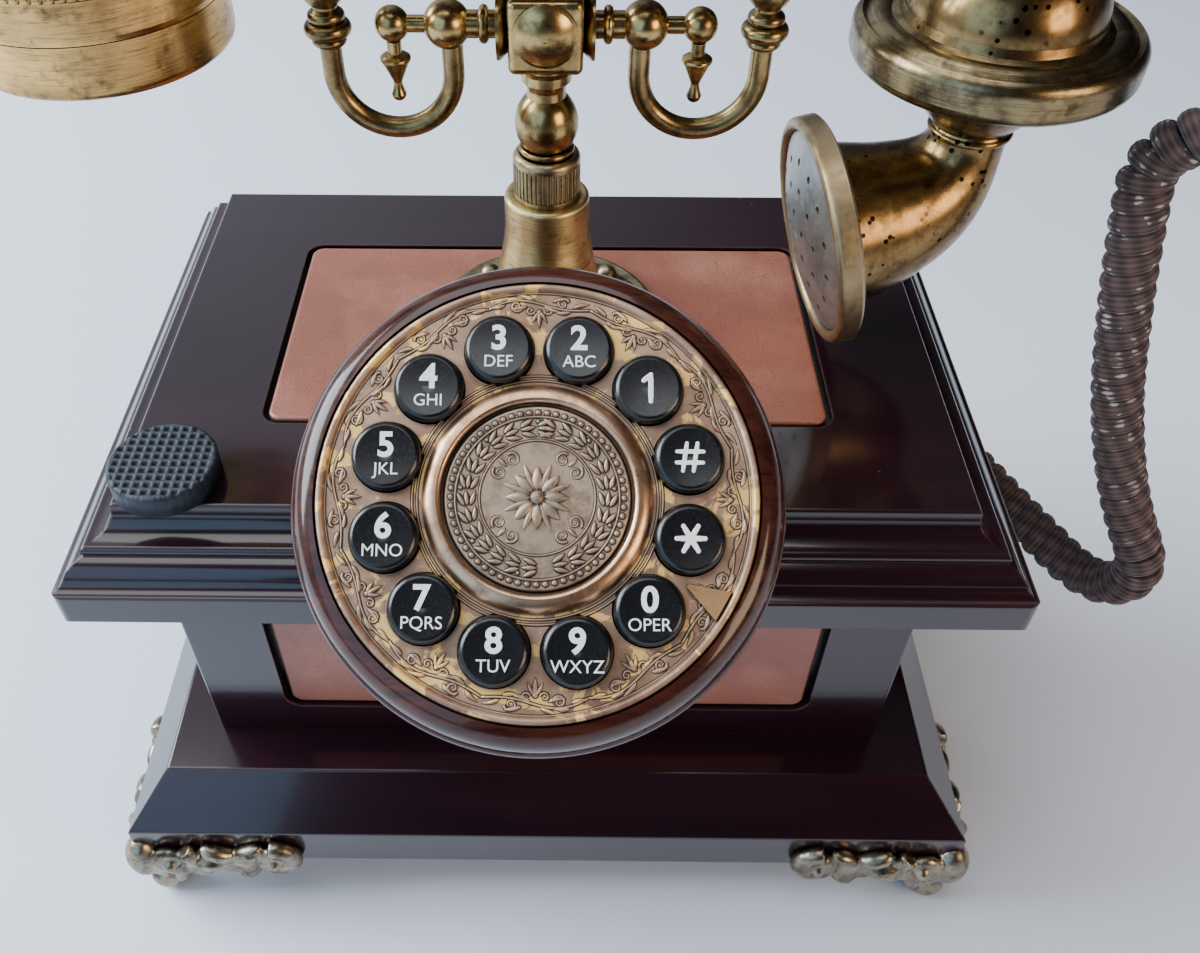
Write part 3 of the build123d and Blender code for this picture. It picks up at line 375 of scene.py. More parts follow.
def aged_brass(name, bright, dull, patina, roughness=0.26, spots=0.0, brushed=None, metal=1.0, cover=0.5,
               groove=0.05):
    """Lacquered antique brass: bright where rubbing wore it, brown patina elsewhere, pits and fine scratches;
    darker in hollows and where pieces meet, which is patina in the hollows and painted shade where pieces
    meet.
    """
    s = Shader(name)
    large = s.noise(38, 5, 0.62, 0.6)
    medium = s.noise(210, 4, 0.6)
    base = s.mix(s.ramp(large, (0.34, 0.0), (0.66, 1.0)), dull, bright)
    lines = s.noise(260, 5, 0.7, 0.0, s.stretched(*(brushed or (1, 1, 1))))
    streaked = s.mix(s.ramp(lines, (0.50, 0.0), (0.72, 0.75)), base, patina)
    low = 0.62 - 0.22 * cover
    dirt_and_painted_shade = s.mix(s.ramp(medium, (low, 0.0), (low + 0.22, 1.0)), streaked, patina)
    rubbed_and_painted_shade = s.mix(s.maths("MULTIPLY", s.edge(0.6 * MM, 0.88, 0.99), 0.6), dirt_and_painted_shade, bright)
    pits = s.maths("MULTIPLY", s.ramp(s.cells(420), (0.16, 1.0), (0.26, 0.0)),
                   s.ramp(s.noise(70, 3), (0.46, 0.0), (0.56, 1.0)))
    marks = s.maths("MULTIPLY", pits, spots)
    spotted = s.mix(marks, rubbed_and_painted_shade, tuple(0.25 * c for c in patina))
    # Darker in hollows and where pieces meet: patina in the hollows, painted shade where pieces meet.
    colour = s.mix(s.hollows(1.6 * MM, 0.30, 0.80), spotted, tuple(0.5 * c for c in patina))
    rough = s.ramp(s.mix(0.5, lines, medium), (0.3, roughness * 0.72), (0.7, roughness * 1.5))
    scratches = s.bump(lines, groove, 0.12 * MM)
    hammered = s.bump(medium, 0.10, 0.20 * MM, scratches)
    s.set(Base_Color=colour, Metallic=metal, Roughness=rough, Normal=hammered)
    return s.material


def turned_wood(name):
    s = Shader(name)
    grain = s.noise(70, 6, 0.6, 2.0, s.stretched(0.25, 2.2, 2.2))
    colour = s.ramp(grain, (0.32, (0.022, 0.006, 0.005)), (0.55, (0.050, 0.014, 0.009)),
                    (0.8, (0.095, 0.026, 0.014)))
    pores = s.ramp(s.noise(900, 2, 0.5, 0.0, s.stretched(0.2, 1.6, 1.6)), (0.60, 0.0), (0.70, 1.0))
    s.set(Base_Color=s.mix(s.maths("MULTIPLY", pores, 0.5), colour, (0.008, 0.004, 0.003)),
          Roughness=s.ramp(grain, (0.3, 0.16), (0.7, 0.26)), Normal=s.bump(grain, 0.06, 0.3 * MM),
          Specular_IOR_Level=0.2, Coat_Weight=0.4, Coat_Roughness=0.05)
    return s.material


def dial_brass(name):
    """Brown bronzed face plate with golden patches where rubbing brightened it, and painted shade around its
    relief and where pieces meet.
    """
    s = Shader(name)
    large = s.noise(55, 5, 0.6, 0.4)
    medium = s.noise(320, 5, 0.65)
    base = s.ramp(s.mix(0.35, large, medium), (0.36, (0.20, 0.108, 0.068)), (0.50, (0.34, 0.205, 0.138)),
                  (0.64, (0.46, 0.31, 0.22)))
    gold = s.ramp(s.noise(170, 4, 0.6, 0.5), (0.53, 0.0), (0.57, 1.0))
    colour = s.mix(s.maths("MULTIPLY", gold, 0.9), base, (0.95, 0.60, 0.20))
    edged = s.mix(s.maths("MULTIPLY", s.edge(0.5 * MM, 0.88, 0.99), 0.7), colour, (0.62, 0.44, 0.27))
    # Dark brown around the relief and where pieces meet: painted shade.
    rubbed_and_painted_shade = s.mix(s.maths("MULTIPLY", s.hollows(0.9 * MM, 0.45, 0.92), 0.9), edged, (0.045, 0.028, 0.020))
    grains = s.bump(medium, 0.25, 0.12 * MM)
    s.set(Base_Color=rubbed_and_painted_shade, Metallic=0.55, Roughness=s.ramp(medium, (0.3, 0.38), (0.7, 0.58)), Normal=grains)
    return s.material


def plastic(name, colour, roughness, speck=(0.06, 0.06, 0.065)):
    s = Shader(name)
    fine = s.noise(1800, 3, 0.6)
    tint = s.mix(s.ramp(s.noise(500, 4, 0.7), (0.66, 0.0), (0.74, 1.0)), colour, speck)
    s.set(Base_Color=tint, Roughness=s.ramp(fine, (0.3, roughness * 0.8), (0.7, roughness * 1.3)),
          Normal=s.bump(fine, 0.08, 0.05 * MM, s.rounded(0.25 * MM)))
    return s.material


def legend_paint(name):
    s = Shader(name)
    fine = s.noise(2400, 4, 0.7)
    s.set(Base_Color=s.ramp(fine, (0.30, (0.62, 0.62, 0.60)), (0.5, (0.86, 0.86, 0.84))),
          Roughness=0.45, Normal=s.bump(fine, 0.2, 0.04 * MM))
    return s.material


def rubber(name):
    s = Shader(name)
    fine = s.noise(900, 4, 0.7)
    s.set(Base_Color=s.ramp(fine, (0.3, (0.010, 0.013, 0.018)), (0.7, (0.028, 0.036, 0.050))),
          Roughness=s.ramp(fine, (0.3, 0.45), (0.7, 0.65)), Normal=s.bump(fine, 0.25, 0.08 * MM),
          Specular_IOR_Level=0.35)
    return s.material


def silver(name):
    s = Shader(name)
    large = s.noise(60, 5, 0.6)
    fine = s.noise(700, 5, 0.7)
    colour = s.ramp(s.mix(0.4, large, fine), (0.36, (0.30, 0.30, 0.28)), (0.52, (0.46, 0.46, 0.43)),
                    (0.66, (0.60, 0.59, 0.54)))
    s.set(Base_Color=colour, Metallic=0.9, Roughness=s.ramp(fine, (0.3, 0.32), (0.7, 0.50)),
          Normal=s.bump(fine, 0.12, 0.10 * MM))
    return s.material


def mouthpiece(name, center, axis, face_radius):
    """Silvered perforated face inside a brass rim."""
    s = Shader(name)
    fine = s.noise(700, 5, 0.7)
    large = s.noise(90, 4, 0.6)
    grey = s.ramp(s.mix(0.4, large, fine), (0.36, (0.20, 0.205, 0.185)), (0.52, (0.33, 0.335, 0.31)),
                  (0.66, (0.46, 0.455, 0.41)))
    brass = s.ramp(large, (0.36, (0.20, 0.14, 0.07)), (0.62, (0.42, 0.31, 0.17)))
    away = s.away_from_axis(center, axis)
    rim_start, rim_end = face_radius, face_radius + 0.4 * MM
    rim = s.add("ShaderNodeMapRange", Value=away, From_Min=rim_start, From_Max=rim_end).outputs[0]
    colour = s.mix(rim, grey, brass)
    worn_and_painted_shade = s.mix(s.maths("MULTIPLY", s.edge(0.6 * MM, 0.88, 0.99), 0.6), colour, (0.62, 0.57, 0.46))
    # Darker in the holes and where pieces meet: painted shade.
    dirt_and_painted_shade = s.mix(s.hollows(1.4 * MM, 0.30, 0.85), worn_and_painted_shade, (0.03, 0.025, 0.02))
    s.set(Base_Color=dirt_and_painted_shade, Metallic=0.9, Roughness=s.ramp(fine, (0.3, 0.32), (0.7, 0.5)),
          Normal=s.bump(fine, 0.15, 0.1 * MM))
    return s.material


def braid(name):
    """Woven textile over the strand: two families of threads that cross, some of them light, though only on
    the cord's upper stretch, which is painted light on its top; near black where the coils nest, which is
    painted shade.
    """
    s = Shader(name)
    place = s.add("ShaderNodeUVMap", {"uv_map": "strand"}).outputs["UV"]
    parts = s.add("ShaderNodeSeparateXYZ", Vector=place)
    around = s.maths("MULTIPLY", parts.outputs[0], 2 * math.pi * 6)
    along = s.maths("MULTIPLY", parts.outputs[1], 2 * math.pi * 2.6)
    one = s.maths("SINE", s.maths("ADD", around, along))
    two = s.maths("SINE", s.maths("SUBTRACT", around, along))
    weave = s.maths("MULTIPLY", s.maths("ADD", s.maths("MULTIPLY", one, two), 1.0), 0.5)
    fuzz = s.noise(2600, 3, 0.7)
    threads = s.ramp(s.mix(0.4, weave, fuzz), (0.25, (0.022, 0.009, 0.007)), (0.75, (0.098, 0.052, 0.043)))
    # Near black where the coils nest and in hollows: painted shade.
    dark = s.mix(s.hollows(2.2 * MM, 0.25, 0.80), threads, (0.006, 0.003, 0.003))
    cells = s.add("ShaderNodeTexVoronoi", Vector=place, Scale=9.0).outputs["Color"]
    chosen = s.ramp(s.add("ShaderNodeSeparateColor", Color=cells).outputs[0], (0.80, 0.0), (0.84, 1.0))
    # Light flecks only on the cord's upper stretch, fading in from 9 to 15 cm up: painted light on its top.
    height = s.add("ShaderNodeSeparateXYZ", Vector=s.place).outputs[2]
    painted_top_light = s.add("ShaderNodeMapRange", Value=height, From_Min=0.09, From_Max=0.15).outputs[0]
    painted_top_light_flecks = s.maths("MULTIPLY", s.maths("MULTIPLY", chosen, s.ramp(weave, (0.55, 0.0), (0.8, 1.0))),
                     s.maths("MULTIPLY", painted_top_light, 0.75))
    colour = s.mix(painted_top_light_flecks, dark, (0.50, 0.42, 0.38))
    s.set(Base_Color=colour, Roughness=0.85, Sheen_Weight=0.15, Sheen_Roughness=0.5,
          Normal=s.bump(fuzz, 0.3, 0.1 * MM, s.bump(weave, 0.7, 0.45 * MM)))
    return s.material


def circuit(name):
    s = Shader(name)
    lines = s.ramp(s.cells(260, "DISTANCE_TO_EDGE", randomness=0.2), (0.03, 1.0), (0.06, 0.0))
    s.set(Base_Color=s.mix(lines, (0.01, 0.09, 0.05), (0.02, 0.16, 0.08)), Roughness=0.35,
          Normal=s.bump(lines, 0.2, 0.1 * MM))
    return s.material


def paper(name):
    """Plain pale floor of one colour, with a faint grain."""
    s = Shader(name)
    s.set(Base_Color=(0.66, 0.70, 0.79, 1.0), Roughness=0.75, Normal=s.bump(s.noise(300, 4), 0.03, 0.3 * MM))
    return s.material


mic_low, mic_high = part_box("mouthpiece_cap")
mic_center = (mic_low + mic_high) / 2
mic_turn, mic_drop = math.radians(HORN_TURN_DEG), math.radians(HORN_DROP_DEG)
mic_axis = Vector((-math.cos(mic_turn) * math.cos(mic_drop), -math.sin(mic_turn) * math.cos(mic_drop),
                   -math.sin(mic_drop)))

BRASS, DULL_BRASS, BROWN_PATINA = (0.56, 0.39, 0.15), (0.30, 0.195, 0.075), (0.070, 0.040, 0.018)
AROUND = (0.5, 0.5, 9)
materials = {
    "lacquered_wood": lacquer("lacquered_wood", (0.010, 0.003, 0.006), (0.021, 0.006, 0.010)),
    "turned_wood": turned_wood("turned_wood"),
    "leather": leather("leather"),
    "brass": aged_brass("aged_brass", BRASS, DULL_BRASS, BROWN_PATINA, 0.24),
    "stem_brass": aged_brass(
        "stem_brass", (0.90, 0.72, 0.34), (0.42, 0.29, 0.12), BROWN_PATINA,
        0.32, 0.1, AROUND, 1.0, 0.25, 0.75),
    "collar_brass": aged_brass(
        "collar_brass", (0.50, 0.39, 0.22), (0.34, 0.25, 0.13), BROWN_PATINA, 0.30, 0.0, None, 1.0, 0.3, 0.0),
    "hook_brass": aged_brass(
        "hook_brass", (0.40, 0.28, 0.11), (0.19, 0.125, 0.052), (0.050, 0.030, 0.015), 0.27, 0.1),
    "flange_brass": aged_brass(
        "flange_brass", (0.40, 0.31, 0.16), (0.10, 0.070, 0.036), (0.030, 0.020, 0.012),
        0.24, 0.2, AROUND, 1.0, 0.5,
        0.30),
    "horn_brass": aged_brass(
        "horn_brass", (0.33, 0.215, 0.088), (0.14, 0.085, 0.034), (0.040, 0.024, 0.012),
        0.24, 2.0, None, 1.0, 0.45),
    "receiver_brass": aged_brass(
        "receiver_brass", (0.80, 0.47, 0.16), (0.13, 0.080, 0.032), (0.035, 0.022, 0.012),
        0.22, 0.1, AROUND, 1.0, 0.3,
        0.22),
    "dark_brass": aged_brass(
        "dark_brass", (0.42, 0.34, 0.20), (0.23, 0.18, 0.11), (0.075, 0.055, 0.038),
        0.32, 0.3, None, 1.0, 0.7),
    "foot_brass": aged_brass(
        "foot_brass", (0.44, 0.37, 0.26), (0.18, 0.155, 0.115), (0.035, 0.030, 0.025),
        0.30, 0.2, None, 1.0, 0.7),
    "dial_brass": dial_brass("dial_brass"),
    # Near black for the flat sheets under the relief: painted shade.
    "dark_recess": aged_brass(
        "dark_recess", (0.085, 0.055, 0.038), (0.05, 0.032, 0.022), (0.02, 0.012, 0.009),
        0.55, 0.0, None, 0.5, 0.6),
    "medallion_bronze": aged_brass(
        "medallion_bronze", (0.46, 0.34, 0.24), (0.32, 0.235, 0.165), (0.15, 0.105, 0.072),
        0.42, 0.2, None, 0.6, 0.5),
    "stop_brass": aged_brass(
        "stop_brass", (0.36, 0.20, 0.085), (0.26, 0.145, 0.065), (0.14, 0.075, 0.035),
        0.50, 0.0, None, 0.35, 0.4),
    "copper": aged_brass(
        "copper_ring", (0.70, 0.44, 0.28), (0.46, 0.27, 0.16), (0.20, 0.105, 0.065),
        0.28, 0.0, None, 0.95, 0.3),
    "silvered": silver("silvered"),
    "mouthpiece": mouthpiece("mouthpiece", mic_center, mic_axis, MIC_FACE_R),
    "key_plastic": plastic("key_plastic", (0.006, 0.006, 0.007), 0.22, (0.02, 0.02, 0.022)),
    "black_plastic": plastic("black_plastic", (0.014, 0.013, 0.013), 0.42),
    "rubber": rubber("rubber"),
    "cord_textile": braid("cord_textile"),
    "steel": aged_brass(
        "steel", (0.56, 0.57, 0.58), (0.44, 0.45, 0.46), (0.30, 0.30, 0.30), 0.32, 0.0, (1, 12, 12)),
    "circuit": circuit("circuit"),
}
NODE_LOOKS = {
    "transmitter_horn": "horn_brass", "transmitter_neck": "horn_brass", "transmitter_dome": "horn_brass",
    "receiver_cup": "receiver_brass", "receiver_cap": "receiver_brass", "dial_plate": "dial_brass",
    "dial_finger_stop": "stop_brass", "dial_medallion": "medallion_bronze", "dial_bracket": "turned_wood",
    "cradle_hook_left": "hook_brass", "cradle_hook_right": "hook_brass", "mouthpiece_cap": "mouthpiece",
    "stem_sleeve": "stem_brass", "stem_collar": "collar_brass", "transmitter_flange": "flange_brass",
}
slot_of = {entry["node"]: entry["material_slot"] for entry in frame["record"]["subparts"]}
for name, node in frame["nodes"].items():
    for place in node.material_slots:
        place.material = materials[NODE_LOOKS.get(name, slot_of[name])]


# Camera

def set_camera():
    yaw, pitch, roll = (math.radians(a) for a in (CAMERA_YAW_DEG, CAMERA_PITCH_DEG, CAMERA_ROLL_DEG))
    ahead = Vector((math.sin(yaw) * math.cos(pitch), math.cos(yaw) * math.cos(pitch), math.sin(pitch)))
    right = Vector((math.cos(yaw), -math.sin(yaw), 0))
    up = right.cross(ahead)
    rolled_right = right * math.cos(roll) + up * math.sin(roll)
    rolled_up = up * math.cos(roll) - right * math.sin(roll)
    data = bpy.data.cameras.new("camera")
    data.sensor_width = 36.0
    data.lens = CAMERA_LENS
    data.shift_x, data.shift_y = CAMERA_SHIFT
    data.clip_start = 0.01
    camera = bpy.data.objects.new("camera", data)
    camera.matrix_world = frame_matrix(CAMERA_PLACE - ORIGIN, rolled_right, rolled_up, -ahead)
    bpy.context.scene.collection.objects.link(camera)
    bpy.context.scene.camera = camera


# Curly cord

def route_line():
    """The cord's centre line: a smooth spline through its route."""
    data = bpy.data.curves.new("cord_route", "CURVE")
    data.dimensions = "3D"
    data.resolution_u = 24
    spline = data.splines.new("NURBS")
    spline.points.add(len(CORD_ROUTE) - 1)
    for point, place in zip(spline.points, CORD_ROUTE):
        point.co = (*(Vector(place) - ORIGIN), 1.0)
    spline.order_u = 3
    spline.use_endpoint_u = True
    holder = bpy.data.objects.new("cord_route", data)
    mesh = bpy.data.meshes.new_from_object(holder)
    points = [v.co.copy() for v in mesh.vertices]
    bpy.data.objects.remove(holder)
    return points


def evenly(points, step):
    """Points every step along a line."""
    result, carry = [points[0].copy()], 0.0
    for a, b in zip(points, points[1:]):
        run = (b - a).length
        at = step - carry
        while at <= run:
            result.append(a.lerp(b, at / run))
            at += step
        carry = (carry + run) % step
    return result


def make_cord():
    steps_a_turn, sides = 20, 12
    line = evenly(route_line(), COIL_PITCH / steps_a_turn)
    coil_r = (COIL_D - STRAND_THICK) / 2
    normal = Vector((0, 0, 1))
    strand, out = [], []
    for k, point in enumerate(line):
        ahead = (line[min(k + 1, len(line) - 1)] - line[max(k - 1, 0)]).normalized()
        normal = (normal - ahead * normal.dot(ahead)).normalized()
        across = ahead.cross(normal)
        angle = 2 * math.pi * k / steps_a_turn
        from_end = min(k, len(line) - 1 - k) / steps_a_turn
        size = coil_r * min(1.0, 0.25 + 0.75 * from_end)
        out.append(math.cos(angle) * normal + math.sin(angle) * across)
        strand.append(point + size * out[-1])
    vertices, faces = tube(strand, STRAND_WIDE / 2, sides, flat=STRAND_THICK / STRAND_WIDE, up=out)
    mesh = mesh_from("handset_cord_coil", vertices, faces)
    layer = mesh.uv_layers.new(name="strand")
    step = (strand[1] - strand[0]).length / STRAND_WIDE
    for face in mesh.polygons:
        columns = [mesh.loops[i].vertex_index % sides for i in face.loop_indices]
        wraps = max(columns) - min(columns) > sides / 2
        for i, column in zip(face.loop_indices, columns):
            row = mesh.loops[i].vertex_index // sides
            layer.data[i].uv = ((column + (sides if wraps and column < sides / 2 else 0)) / sides, row * step)
    cord = add_object("handset_cord_coil", mesh, materials["cord_textile"])
    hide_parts("handset_cord")
    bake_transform(cord)


# Key legends

def text_mesh(words, height, bold):
    """Flat letters as a thin mesh. height is that of a capital, and their middle is the origin."""
    meshes = []
    for body in (words, "H"):
        data = bpy.data.curves.new("legend", "FONT")
        data.body = body
        data.align_x = "CENTER"
        data.offset = bold
        data.extrude = 0.02
        data.resolution_u = 6
        holder = bpy.data.objects.new("legend", data)
        meshes.append(bpy.data.meshes.new_from_object(holder))
        bpy.data.objects.remove(holder)
    mesh, capital = meshes
    tall = [v.co.y for v in capital.vertices]
    wide = [v.co.x for v in mesh.vertices]
    scale = height / (max(tall) - min(tall))
    middle_x, middle_y = (max(wide) + min(wide)) / 2, (max(tall) + min(tall)) / 2
    for vertex in mesh.vertices:
        vertex.co.x = (vertex.co.x - middle_x) * scale
        vertex.co.y = (vertex.co.y - middle_y) * scale
        vertex.co.z = vertex.co.z * 2.0 * MM
    return mesh


def stroke_bars(bars, width):
    """Rounded bars, each from a point to a point, as a thin mesh."""
    parts = []
    for a, b in bars:
        run, rise_y = b[0] - a[0], b[1] - a[1]
        points = [Vector((a[0] + run * t / 6, a[1] + rise_y * t / 6, 0)) * MM for t in range(7)]
        radii = [width / 2 * (0.75 if t in (0, 6) else 1.0) for t in range(7)]
        parts.append(tube(points, radii, 8, flat=0.10, up=Vector((0, 0, 1))))
        for end in (points[0], points[-1]):
            parts.append(ellipsoid(end, (width / 2 * 0.9, width / 2 * 0.9, width * 0.05), rings=6, sides=12))
    return mesh_from("strokes", *joined(parts))


def on_key(mesh, shift):
    """Lay flat marks on the key's dished top, a hair proud of it."""
    for vertex in mesh.vertices:
        x, y = vertex.co.x + shift[0] * MM, vertex.co.y + shift[1] * MM
        dish = KEY_DISH * (1 - (x * x + y * y) / (KEY_R * KEY_R))
        vertex.co = (x, y, vertex.co.z + KEY_HEIGHT - dish)


def make_legends():
    for index, (name, digit, letters) in enumerate(KEYS):
        angle = math.radians(KEY_FIRST_DEG + 30 * index)
        center = Vector((KEY_RING_R * math.cos(angle), KEY_RING_R * math.sin(angle), 0))
        marks = []
        if digit == "*":
            bars = [((-2.5, 0), (2.5, 0)), ((-1.3, -2.2), (1.3, 2.2)), ((-1.3, 2.2), (1.3, -2.2))]
            marks.append((stroke_bars(bars, 0.95 * MM), (0, 0)))
        elif digit == "#":
            bars = [((-1.3, -2.5), (-0.55, 2.5)), ((0.6, -2.5), (1.35, 2.5)), ((-2.3, 1.0), (2.4, 1.0)),
                    ((-2.4, -1.0), (2.3, -1.0))]
            marks.append((stroke_bars(bars, 0.78 * MM), (0, 0)))
        elif digit == "1":
            bars = [((0.35, -2.5), (0.35, 2.45)), ((0.30, 2.35), (-0.95, 1.35))]
            marks.append((stroke_bars(bars, 0.92 * MM), (0, 0)))
        else:
            marks.append((text_mesh(digit, 4.6 * MM, 0.030), (0, 1.9)))
        if letters:
            marks.append((text_mesh(letters, 2.15 * MM, 0.0), (0, -2.5)))
        for number, (mesh, shift) in enumerate(marks):
            on_key(mesh, shift)
            mesh.transform(dial_matrix @ Matrix.Translation(center))
            piece = add_object(f"legend_{name}_{number}", mesh, legend, smooth=False)
            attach(piece, "key_" + name)


# Ornament

class Ornament:
    """Raised leaves, lines and beads on a flat face, each laid on a dark flat sheet of its own outline, a
    little larger: painted shade along its edges.
    """

    def __init__(self, face, floor):
        self.face, self.floor = face, floor
        self.raised, self.recess = [], []

    def leaf(self, at, heading, length, width, height, bend=0.0):
        turn = Matrix.Rotation(heading, 4, "Z")
        back = turn @ Vector((-0.07 * length, 0, 0))
        # The second copy is a dark flat sheet a little larger than the leaf: painted shade along its edge.
        for parts, point, size, lift in (
                (self.raised, at, (length, width, height), self.face),
                (self.recess, at + back, (1.14 * length, width + 0.45 * MM, 0.05 * MM), self.floor)):
            place = Matrix.Translation((point.x, point.y, lift)) @ turn
            parts.append(placed(leaf(*size, bend=bend), place))

    def line(self, points, size, taper=0.55, closed=False):
        count = len(points)
        radii = [size * (1 - taper * i / count) for i in range(count)]
        raised = [Vector((p.x, p.y, self.face)) for p in points]
        # A dark flat band a little wider than the line: painted shade along its edges.
        recess = [Vector((p.x, p.y, self.floor)) for p in points]
        up = Vector((0, 0, 1))
        self.raised.append(tube(raised, radii, 8, closed, 0.9, up))
        self.recess.append(tube(recess, [r + 0.20 * MM for r in radii], 8, closed, 0.10, up))

    def ring(self, radius, size):
        circle = [polar(radius, 2 * math.pi * k / 160) for k in range(160)]
        self.line(circle, size, 0.0, True)

    def bead(self, at, size, heading=0.0):
        turn = Matrix.Rotation(heading, 3, "Z")
        self.raised.append(ellipsoid(Vector((at.x, at.y, self.face)), size, turn, 8, 12))
        # Under the bead, a dark flat sheet a little wider than it: painted shade around it.
        around = (size[0] + 0.22 * MM, size[1] + 0.22 * MM, 0.06 * MM)
        self.recess.append(ellipsoid(Vector((at.x, at.y, self.floor)), around, turn, 6, 12))

    def finish(self, name, matrix, metal):
        # The sheets get the near-black material: painted shade.
        layers = (("raised", self.raised, metal), ("recess", self.recess, "dark_recess"))
        for suffix, parts, material in layers:
            relief = placed(joined(parts), matrix)
            piece = add_object(name + "_" + suffix, mesh_from(name, *relief), materials[material])
            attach(piece, "base")


def polar(radius, angle):
    return Vector((radius * math.cos(angle), radius * math.sin(angle), 0))


def make_dial_relief():
    """Line rings, and between them a running vine with a fleuron pointing in between two keys."""
    work = Ornament(0.03 * MM, 0.02 * MM)
    for radius, size in ((38.35, 0.13), (22.6, 0.13), (21.7, 0.12)):
        work.ring(radius * MM, size * MM)
    band_r, unit = 36.35, math.radians(30)

    for k in range(len(KEYS)):
        middle_angle = math.radians(KEY_FIRST_DEG + 15 + 30 * k)
        hand = 1 if k % 2 else -1

        def band(u, v):
            """u along the rim and v outwards, in millimetres from the middle of the unit."""
            return polar((band_r + v) * MM, middle_angle - hand * u / band_r)

        def heading(degrees):
            return middle_angle - hand * math.pi / 2 + hand * math.radians(degrees)
        reach = band_r * unit / 2
        vine = [band(reach * t, 0.85 * math.sin(math.pi * t)) for t in (i / 16 - 1 for i in range(33))]
        work.line(vine, 0.17 * MM, 0.0)
        for side in (-1, 1):
            curl = []
            for i in range(19):
                t = i / 18
                size = 1.15 - 0.80 * t
                swing = math.radians(200 + 420 * t) * side
                curl.append(band(side * 4.3 + size * math.cos(swing), -side * 0.25 + size * math.sin(swing)))
            work.line(curl, 0.21 * MM)
            for u, v, turn, length, bend in ((0.9, 0.5, 34, 3.3, -0.9), (2.4, -0.4, -26, 3.0, 0.8),
                                             (5.9, 1.1, 160, 2.6, 0.8), (6.4, 0.3, -30, 2.9, 0.9)):
                work.leaf(band(side * u, side * v), heading((turn if side > 0 else 180 + turn)),
                          length * MM, 0.95 * MM, 0.30 * MM, hand * bend * MM)
        inward = middle_angle + math.pi
        root = polar((band_r - 1.6) * MM, middle_angle)
        work.leaf(root, inward, 3.0 * MM, 1.0 * MM, 0.34 * MM)
        for side in (-1, 1):
            work.leaf(root, inward + side * 0.85, 2.4 * MM, 0.85 * MM, 0.30 * MM, -side * 0.7 * MM)
            curl_center = root + polar(1.7 * MM, inward + side * 1.75)
            curl_start_deg = math.degrees(inward - side * 1.4)
            work.line(spiral(curl_center, curl_start_deg, 1.1, 0.85 * MM, 0.2 * MM, 18, side), 0.18 * MM)
        work.bead(root, (0.45 * MM, 0.45 * MM, 0.32 * MM))
    work.finish("dial_ornament", dial_matrix, "dial_brass")


def make_medallion_relief():
    """A beaded border, a laurel garland, and a rosette among four scrolls."""
    face = 1.15 * MM
    work = Ornament(face, face - 0.01 * MM)
    for k in range(60):
        angle = 2 * math.pi * k / 60
        work.bead(polar(15.55 * MM, angle), (0.42 * MM, 0.50 * MM, 0.30 * MM), angle)
    work.ring(14.75 * MM, 0.13 * MM)
    for k in range(26):
        angle = 2 * math.pi * (k + 0.5) / 26
        side = 1 if k < 13 else -1
        along = angle + (math.pi / 2 if math.cos(angle) > 0 else -math.pi / 2)
        for lean, radius in ((0.42, 13.1), (-0.42, 12.0), (0.0, 12.6)):
            twist = lean if math.cos(angle) > 0 else -lean
            work.leaf(polar(radius * MM, angle), along - twist, 2.7 * MM, 1.0 * MM, 0.42 * MM)
        if k % 3 == 0:
            work.bead(polar(13.9 * MM, angle), (0.32 * MM, 0.32 * MM, 0.28 * MM))
    work.ring(10.4 * MM, 0.12 * MM)
    for k in range(8):
        angle = 2 * math.pi * k / 8
        work.leaf(polar(1.3 * MM, angle + math.pi / 8), angle + math.pi / 8, 5.3 * MM, 1.5 * MM, 0.50 * MM)
    for k in range(8):
        angle = 2 * math.pi * k / 8
        work.leaf(polar(1.2 * MM, angle), angle, 4.6 * MM, 2.5 * MM, 0.75 * MM)
    work.bead(Vector((0, 0, 0)), (1.35 * MM, 1.35 * MM, 1.0 * MM))
    for k in range(4):
        angle = math.pi / 4 + math.pi / 2 * k
        for side in (-1, 1):
            eye = polar(8.2 * MM, angle + side * 0.20)
            work.line(spiral(eye, math.degrees(angle), 1.4, 1.35 * MM, 0.25 * MM, hand=side), 0.20 * MM)
        work.leaf(polar(7.9 * MM, angle), angle, 2.1 * MM, 0.9 * MM, 0.36 * MM)
    work.finish("medallion_ornament", dial_matrix, "medallion_bronze")


# Rubber pad

